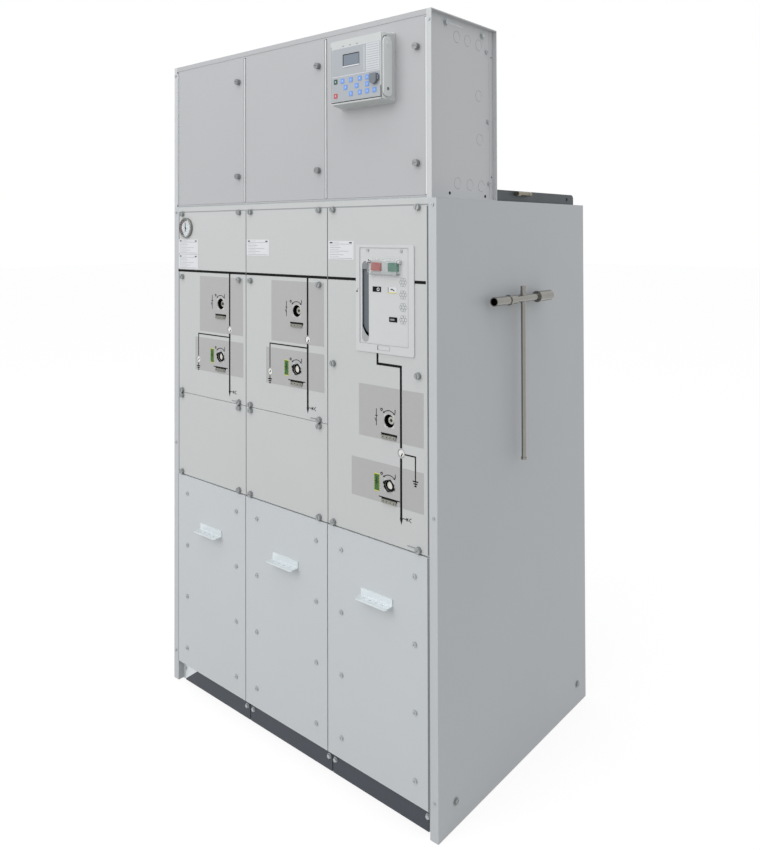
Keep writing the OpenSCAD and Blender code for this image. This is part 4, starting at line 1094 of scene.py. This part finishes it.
@dataclass
class RelayFront:
    """Front film, screen, keys and hinged arm of the protection relay."""

    face_y: float = -45.0
    side_x: float = 386.0
    body: str = "door_3"
    key_half: float = 6.0
    key_h: float = 1.6
    keys: tuple[tuple[Coat, float, tuple[float, ...]], ...] = (
        (Coat.BLUE, 1757.5, (260.0, 288.0, 317.0, 341.0)), (Coat.BLUE, 1741.0, (270.0, 307.0, 341.0)),
        (Coat.BLUE, 1724.0, (288.0, 317.0, 341.0, 364.0)), (Coat.KEY_GREEN, 1758.0, (237.0,)),
        (Coat.KEY_RED, 1723.0, (237.0,)))
    film_rects: Rows = (
        ((220, 385, 1705, 1858), 0.4, Coat.RELAY, 0.0, 5, 0.2),
        ((224, 382, 1708, 1838), 0.7, Coat.RELAY_FACE, 0.3, 3),
        ((259, 265, 1842, 1844), 0.7, Coat.RULE, 0.3),
        ((282, 288, 1842, 1844), 0.7, Coat.RULE, 0.3),
        ((305, 311, 1842, 1844), 0.7, Coat.RULE, 0.3),
        ((224, 382, 1769, 1770.2), 0.9, Coat.LABEL, 0.6),
        ((262, 316, 1792, 1822), 1.5, Coat.PORT, 0.6, 2, 0.4),
        ((265, 313, 1795, 1819), 1.7, Coat.SCREEN, 0.9),
        # White strip: painted highlight on the screen recess's bottom edge.
        ((262, 316, 1790.5, 1793), 2.2, Coat.LABEL, 0.6),
        ((338, 380, 1772, 1837), 0.9, Coat.STRIP, 0.6, 1))
    film_lines: Rows = (
        # Painted shade along the film's bottom and right edges.
        (((222, 1706.2), (384, 1706.2), (384, 1733)), 1.8, 0.9, Coat.SHADOW),
        (((221.6, 1706.2), (221.6, 1846)), 0.9, 0.9, Coat.RULE),
        # Painted shade along the screen recess's left and top edges.
        (((263, 1794), (263, 1821), (315, 1821)), 1.6, 2.0, Coat.SHADOW, 0.6),
        (((331, 1774), (331, 1834)), 1.4, 0.9, Coat.LABEL, 0.6))
    port_rects: Rows = (
        ((353, 375, 1749, 1763), 9.3, Coat.PORT, 0.8, 2.5, 1.0),
        ((374, 379, 1746, 1758), 6.0, Coat.PORT, 0.8, 1.0, 0.6))
    arm_rects: Rows = (
        ((-44, -1, 1702, 1859), 0.5, Coat.RELAY_SIDE, 0.0, 2),
        ((-43.4, -9.4, 1707, 1852), 1.0, Coat.PORT, 0.0, 12),
        ((-43, -10, 1708, 1849), 3.5, Coat.RELAY_SIDE, 0.0, 12, 1.2))

    def build(self) -> None:
        """Makes the relay's film, its keys, its port and the hinged arm along its right side."""
        plane = front(self.face_y)
        film = Relief("relay_front_film", plane, self.body, "relay_grey")
        film.rects(self.film_rects)
        for row in self.film_lines:
            film.line(*row)
        for k in range(11):
            film.line([(341, 1776.5 + 5.6 * k), (377, 1776.5 + 5.6 * k)], 0.9, 1.0, Coat.RULE, low=0.8)
        film.build()
        keys = Relief("relay_membrane_keys", plane, self.body, "key_blue")
        for coat, z, places in self.keys:
            for x in places:
                self.cap(keys, x, z, coat)
        piece = keys.build()
        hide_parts("relay_keys")
        port = Relief("relay_port_flap", plane, self.body, "port_grey")
        port.rects(self.port_rects)
        port.build()
        side = Relief("relay_hinged_arm", Plane(Facing.RIGHT, self.side_x), self.body, "relay_grey")
        side.rects(self.arm_rects)
        side.disc(-26, 1834, 5, 5.0, Coat.RELAY_SIDE, low=3.0, edge=0.8)
        side.disc(-26, 1726, 4, 4.4, Coat.PORT, low=3.0, edge=0.6)
        side.build()

    def cap(self, keys: Relief, x: float, z: float, coat: Coat) -> None:
        """Adds a key cap with a pale mark.

        Args:
            keys: Relief that gets it.
            x: Middle of the key.
            z: Its height.
            coat: Its finish.
        """
        half, high = self.key_half, self.key_h + 0.15
        keys.rect((x - half, x + half, z - half, z + half), self.key_h, coat, low=0.4, radius=1.2, edge=0.4)
        keys.rect((x - 2, x + 2, z - 2, z + 2), high, Coat.KEY_MARK, low=self.key_h - 0.1, radius=0.8)
        keys.line([(x - 1.4, z), (x + 1.4, z)], 1.2, high + 0.1, coat, low=high - 0.05)


@dataclass
class LowVoltageTrim:
    """Knock-outs, holes and flanges of the low-voltage compartment, and the strips about its doors: painted
    highlights, door-coloured fills and painted shade lines.
    """

    walls: tuple[tuple[str, Facing, int, float], ...] = (
        ("right", Facing.RIGHT, 1, 485.5), ("left", Facing.LEFT, -1, -498.5))
    flange_y: Point = (262.0, 277.5)
    slit_y: Point = (88.0, 145.0)
    knock_outs: tuple[Point, ...] = (
        (119.0, 1860.0), (166.0, 1859.0), (215.0, 1857.0), (214.0, 1729.0), (218.0, 1619.0), (121.0, 1505.0),
        (174.0, 1503.0), (225.0, 1502.0))
    screws: tuple[Point, ...] = ((250.0, 1846.0), (255.0, 1668.0), (259.0, 1510.0))
    bolts: tuple[Point, ...] = ((73.0, 1886.0), (230.0, 1883.0))
    holes: tuple[Point, ...] = ((88.0, 1480.0), (242.0, 1477.0), (270.0, 1835.0), (270.0, 1527.0))
    hinge_edges: tuple[float, ...] = (-491.5, -166.5, 158.5)
    highlight_w: float = 3.0
    strip_t: float = 0.8
    strip_z: Point = (1474.0, 1885.0)
    opening_x: Point = (-491.0, 483.0)

    def build(self) -> None:
        """Makes both walls' knock-outs and holes, and the strips about the doors."""
        for name, facing, side, wall_x in self.walls:
            plane = Plane(facing, wall_x)
            wall = Relief(f"lv_wall_knock_outs_{name}", plane, slot="door_paint")
            flange, slit = (sorted(side * y for y in span) for span in (self.flange_y, self.slit_y))
            wall.rect((*flange, 1468.5, 1901.5), 1.2, Coat.LV_WALL, edge=0.4)
            # White strip: painted light seen through the slit, in white label film.
            wall.rect((*slit, 1886, 1889), 0.3, Coat.LABEL, radius=1.4)
            for y, z in self.knock_outs:
                self.knock_out(wall, side * y, z)
            # Holes drawn as dark discs: painted shade of the holes.
            for y, z in self.holes:
                foot, radius = (1.1, 2.0) if y > self.flange_y[0] else (0.0, 4.0)
                wall.disc(side * y, z, radius, foot + 0.25, Coat.SHADOW, low=foot, sides=24)
            wall.build()
            PAN_HEAD.fit(f"lv_wall_screws_{name}", plane, [(side * y, z) for y, z in self.screws], seed=11)
            HEX_BOLT.fit(f"lv_wall_bolts_{name}", plane, [(side * y, z) for y, z in self.bolts], seed=12)
        self.door_gap_strips()

    @staticmethod
    def knock_out(wall: Relief, y: float, z: float) -> None:
        """Adds a knock-out's groove with its lit edge and the four bridges that hold it."""
        wall.ring(y, z, 14.2, 13.2, 0.25, Coat.GROOVE)
        # White arc: painted highlight on the groove's right edge, in white label film.
        wall.ring(y, z, 14.4, 13.3, 0.35, Coat.LABEL, low=0.2, start=-75, end=45)
        for k in range(4):
            a = math.radians(20 + 90 * k)
            wall.disc(y + 13.7 * math.cos(a), z + 13.7 * math.sin(a), 1.3, 0.35, Coat.LV_WALL, sides=12)

    def door_gap_strips(self) -> None:
        """Adds the strips about the doors: white painted highlights in the hinge-side gaps, standing in for the
        light on the rolled edges, and door-coloured strips with thin painted shade lines that hide the gaps' shade
        above and below the doors.
        """
        for number, edge in enumerate(self.hinge_edges, 1):
            hinge_strip = Relief(f"door_{number}_edge_highlight", front(1.1), f"door_{number}", "door_paint")
            # White strip: painted highlight of the light on the rolled hinge edge, laid in the gap beside it.
            hinge_strip.rect((edge - self.highlight_w, edge, *self.strip_z), self.strip_t, Coat.EDGE_HIGHLIGHT)
            if number == len(self.hinge_edges):
                # Door 3's right gap: a door-coloured fill that hides its shade, then a white painted highlight.
                hinge_strip.rect((478.5, 481.1, *self.strip_z), self.strip_t, Coat.DOOR)
                hinge_strip.rect((481.1, 482.9, *self.strip_z), self.strip_t, Coat.EDGE_HIGHLIGHT)
            hinge_strip.build()
        door_gap_strips = Relief("lv_frame_gap_fills", front(2.6), slot="door_paint")
        for low, high in ((1468, 1472.7), (1886.3, 1891)):
            # Door-coloured strips over the gaps above and below the doors hide the gaps' shade.
            door_gap_strips.rect((*self.opening_x, low, high), 1.8, Coat.DOOR)
        for low in (1468, 1889.8):
            # Thin painted shade lines at the gaps' outer edges.
            door_gap_strips.rect((*self.opening_x, low, low + 1.2), 2.0, Coat.SEAM, low=1.7)
        door_gap_strips.build()


@dataclass
class Fixings:
    """Screws and bolts of the plates, covers, posts, sill and side panels, and the plates' shaded gaps."""

    switch_levels: tuple[float, ...] = (1445.0, 1251.0, 901.0, 885.0, 650.0)
    breaker_levels: tuple[float, ...] = (1445.0, 1053.0, 650.0)
    strip_levels: tuple[float, ...] = (901.0, 901.0, 652.0)
    knob_dx: Point = (-BAY / 2 + 21, BAY / 2 - 30)

    def build(self) -> None:
        """Sets all the heads out."""
        levels = (self.switch_levels, self.switch_levels, self.breaker_levels)
        knobs = [(mid + dx, z) for mid, rows in zip(BAYS, levels) for z in rows for dx in self.knob_dx]
        KNOB.fit("captive_knob_screws", FRONT, knobs, seed=3)
        strips = Relief("knob_retaining_strips", FRONT, slot="lock_steel")
        for mid, z in zip(BAYS, self.strip_levels):
            right = mid + self.knob_dx[1]
            strips.rect((right - 34, right - 8, z - 1.1, z + 1.1), 0.8, Coat.RULE)
        strips.build()
        covers = [(mid + x, z) for mid in BAYS for x in (-114, 121) for z in (587, 430, 273, 116)]
        PAN_HEAD.fit("cover_screws", COVERS, covers, seed=5)
        posts = [(side * 500, z) for side in (-1, 1) for z in (1450, 733, 88)]
        SMALL_HEAD.fit("post_screws", FRONT, posts, seed=9)
        SMALL_HEAD.fit("lv_post_screws", FRONT, [(-504, 1879), (491, 1879)], seed=13)
        sill = [(x, 36) for x in (-470, -176, -149, 151, 173, 470)]
        SILL_BOLT.fit("sill_bolts", front(SILL_FACE), sill, seed=15)
        self.sill_gusset()
        self.plate_gaps()
        for name, facing, side in (("right", Facing.RIGHT, 1), ("left", Facing.LEFT, -1)):
            points = [(side * y, 60) for y in (69, 685)]
            BIG_HEAD.fit(f"side_panel_bolts_{name}", Plane(facing, side * HALF_W), points, seed=17)
        SMALL_HEAD.fit("breaker_panel_screws", front(PANEL_FACE), [(303, 1342.5), (408.5, 1341.5)], seed=19)
        back = [(side * x, z) for side in (-1, 1) for x in (180, 490) for z in (90, 480, 900, 1420)]
        PAN_HEAD.fit("rear_panel_screws", Plane(Facing.BACK, REAR_FACE), back, seed=21)

    @staticmethod
    def plate_gaps() -> None:
        """Adds the shaded strips in the gaps between the plates and under the rail, and painted shade strips along
        the plates' and covers' outer edges.
        """
        gaps = Relief("plate_gap_strips", front(17.5), slot="front_paint")
        for x in (-BAY / 2, BAY / 2):
            gaps.rect((x - 1.3, x + 1.3, 66, 1449), 16.6, Coat.GAP)
        gaps.rect((-486, 486, 1449.2, 1451.8), 16.8, Coat.SEAM)
        gaps.build()
        for name, plane, low, high in (("plate", FRONT, 645, 1447), ("cover", COVERS, 63, 639)):
            edges = Relief(f"{name}_outer_edge_painted_shade", plane, slot="front_paint")
            # Dark strips on the faces at the outer edges: painted shade of the gaps beside the posts.
            edges.rect((483.2, 485.9, low, high), 0.15, Coat.GAP)
            edges.rect((-485.9, -484.4, low, high), 0.15, Coat.GAP)
            edges.build()

    @staticmethod
    def sill_gusset() -> None:
        """Adds the bright gusset at the left end of the sill."""
        plate = Relief("sill_gusset", front(SILL_FACE), slot="sheet_steel")
        plate.shape([(-471.5, 3), (-410, 48), (-410, 58), (-471.5, 58)], 1.5, Coat.HANDLE)
        plate.build()


@dataclass
class Studio:
    """Pale floor, soft light and the camera."""

    white: str = "#ffffff"
    paper: str = "#c4c4c2"
    sky: str = "#fbfcff"
    floor_half: float = 30.0
    floor_z: float = -0.001
    ambient: float = 0.77
    paper_glow: float = 0.6
    glow_power: float = 1.37
    lamps: Rows = (("front_softbox", (-0.9, -4.3, 3.2), (0.0, -0.3, 0.9), 3.4, 86.0),
                   ("top_softbox", (0.4, -0.6, 4.4), (0.0, 0.0, 1.0), 3.0, 30.0))
    camera_at: tuple[float, float, float] = (1.5402, -1.7638, 1.3860)
    pitch: float = 0.626
    yaw: float = 40.67
    roll: float = -0.145
    focal_px: float = 772.53
    width_px: float = 760.0
    height_px: float = 850.0
    middle_px: float = 224.08
    sensor: float = 36.0

    def build(self) -> None:
        """Makes the floor, the world, the lamps and the camera."""
        self.floor()
        self.world()
        for row in self.lamps:
            self.lamp(*row)
        self.camera()

    def floor(self) -> None:
        """Adds the pale floor, which looks white to the camera and keeps the shadow."""
        h, z = self.floor_half, self.floor_z
        mesh = bpy.data.meshes.new("studio_floor")
        mesh.from_pydata([(-h, -h, z), (h, -h, z), (h, h, z), (-h, h, z)], [], [(0, 1, 2, 3)])
        piece = bpy.data.objects.new("studio_floor", mesh)
        bpy.context.scene.collection.objects.link(piece)
        paper = bpy.data.materials.new("white_studio_paper")
        paper.use_nodes = True
        tree = paper.node_tree
        tree.nodes.clear()
        matt = add_node(tree, "ShaderNodeBsdfDiffuse", {"Color": linear(self.paper)})
        glow = add_node(tree, "ShaderNodeEmission", {"Color": linear(self.white), "Strength": self.glow_power})
        share = add_math(tree, "MULTIPLY", self.seen(tree), self.paper_glow)
        mix = add_node(tree, "ShaderNodeMixShader", {0: share, 1: matt.outputs[0], 2: glow.outputs[0]})
        add_node(tree, "ShaderNodeOutputMaterial", {"Surface": mix.outputs[0]})
        mesh.materials.append(paper)
        piece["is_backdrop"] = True

    def world(self) -> None:
        """Lights the object evenly and shows a white background."""
        world = bpy.data.worlds.new("studio_world")
        bpy.context.scene.world = world
        world.use_nodes = True
        tree = world.node_tree
        tree.nodes.clear()
        light = add_node(tree, "ShaderNodeBackground", {"Color": linear(self.sky), "Strength": self.ambient})
        white = add_node(tree, "ShaderNodeBackground", {"Color": linear(self.white), "Strength": 1.0})
        mix = add_node(tree, "ShaderNodeMixShader", {
            0: self.seen(tree), 1: light.outputs[0], 2: white.outputs[0]})
        add_node(tree, "ShaderNodeOutputWorld", {"Surface": mix.outputs[0]})

    @staticmethod
    def seen(tree: Tree) -> Socket:
        """Tells the rays that show a surface from those that only light one.

        Args:
            tree: Node tree that gets the nodes.

        Returns:
            Socket that is 1 for camera, glossy and transmission rays.
        """
        path = add_node(tree, "ShaderNodeLightPath")
        shown = path.outputs["Is Camera Ray"]
        for ray in ("Is Glossy Ray", "Is Transmission Ray"):
            shown = add_math(tree, "MAXIMUM", shown, path.outputs[ray])
        return shown

    @staticmethod
    def lamp(name: str, place: Sequence[float], aim: Sequence[float], size: float, power: float) -> None:
        """Adds a square soft lamp.

        Args:
            name: Its name.
            place: Where it hangs.
            aim: Where it points.
            size: Length of its side.
            power: Its power in watts.
        """
        data = bpy.data.lights.new(name, "AREA")
        data.shape = "SQUARE"
        data.size = size
        data.energy = power
        lamp = bpy.data.objects.new(name, data)
        lamp.location = place
        lamp.rotation_euler = (Vector(aim) - Vector(place)).to_track_quat("-Z", "Y").to_euler()
        bpy.context.scene.collection.objects.link(lamp)

    def camera(self) -> None:
        """Adds the camera at the photograph's place."""
        data = bpy.data.cameras.new("camera")
        data.sensor_fit = "HORIZONTAL"
        data.sensor_width = self.sensor
        data.lens = self.sensor * self.focal_px / self.width_px
        data.shift_y = -(self.height_px / 2 - self.middle_px) / self.width_px
        camera = bpy.data.objects.new("camera", data)
        camera.location = self.camera_at
        aim = Euler((math.radians(90 + self.pitch), 0.0, math.radians(self.yaw))).to_matrix()
        camera.rotation_euler = (aim @ Matrix.Rotation(math.radians(self.roll), 3, "Z")).to_euler()
        bpy.context.scene.collection.objects.link(camera)
        bpy.context.scene.camera = camera


def write_sizes() -> None:
    """Turns the solids' box and the dressed object's box into plain lists."""
    boxes = {"cad": CAD_BOX, "visual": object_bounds()}
    plain = {name: [[float(v) for v in corner] for corner in box] for name, box in boxes.items()}


def main() -> None:
    """Builds the looks in order."""
    logging.basicConfig(level=logging.INFO)
    bpy.context.scene.view_settings.view_transform = "Standard"
    for part in (CadFinishes(), MimicDiagram(), SocketTrim(), PressureGauge(), BreakerFace(), RelayFront(),
                 LowVoltageTrim(), Fixings(), Studio()):
        part.build()
        LOG.info("built %s", type(part).__name__)
    write_sizes()


if __name__ == "__main__":
    main()
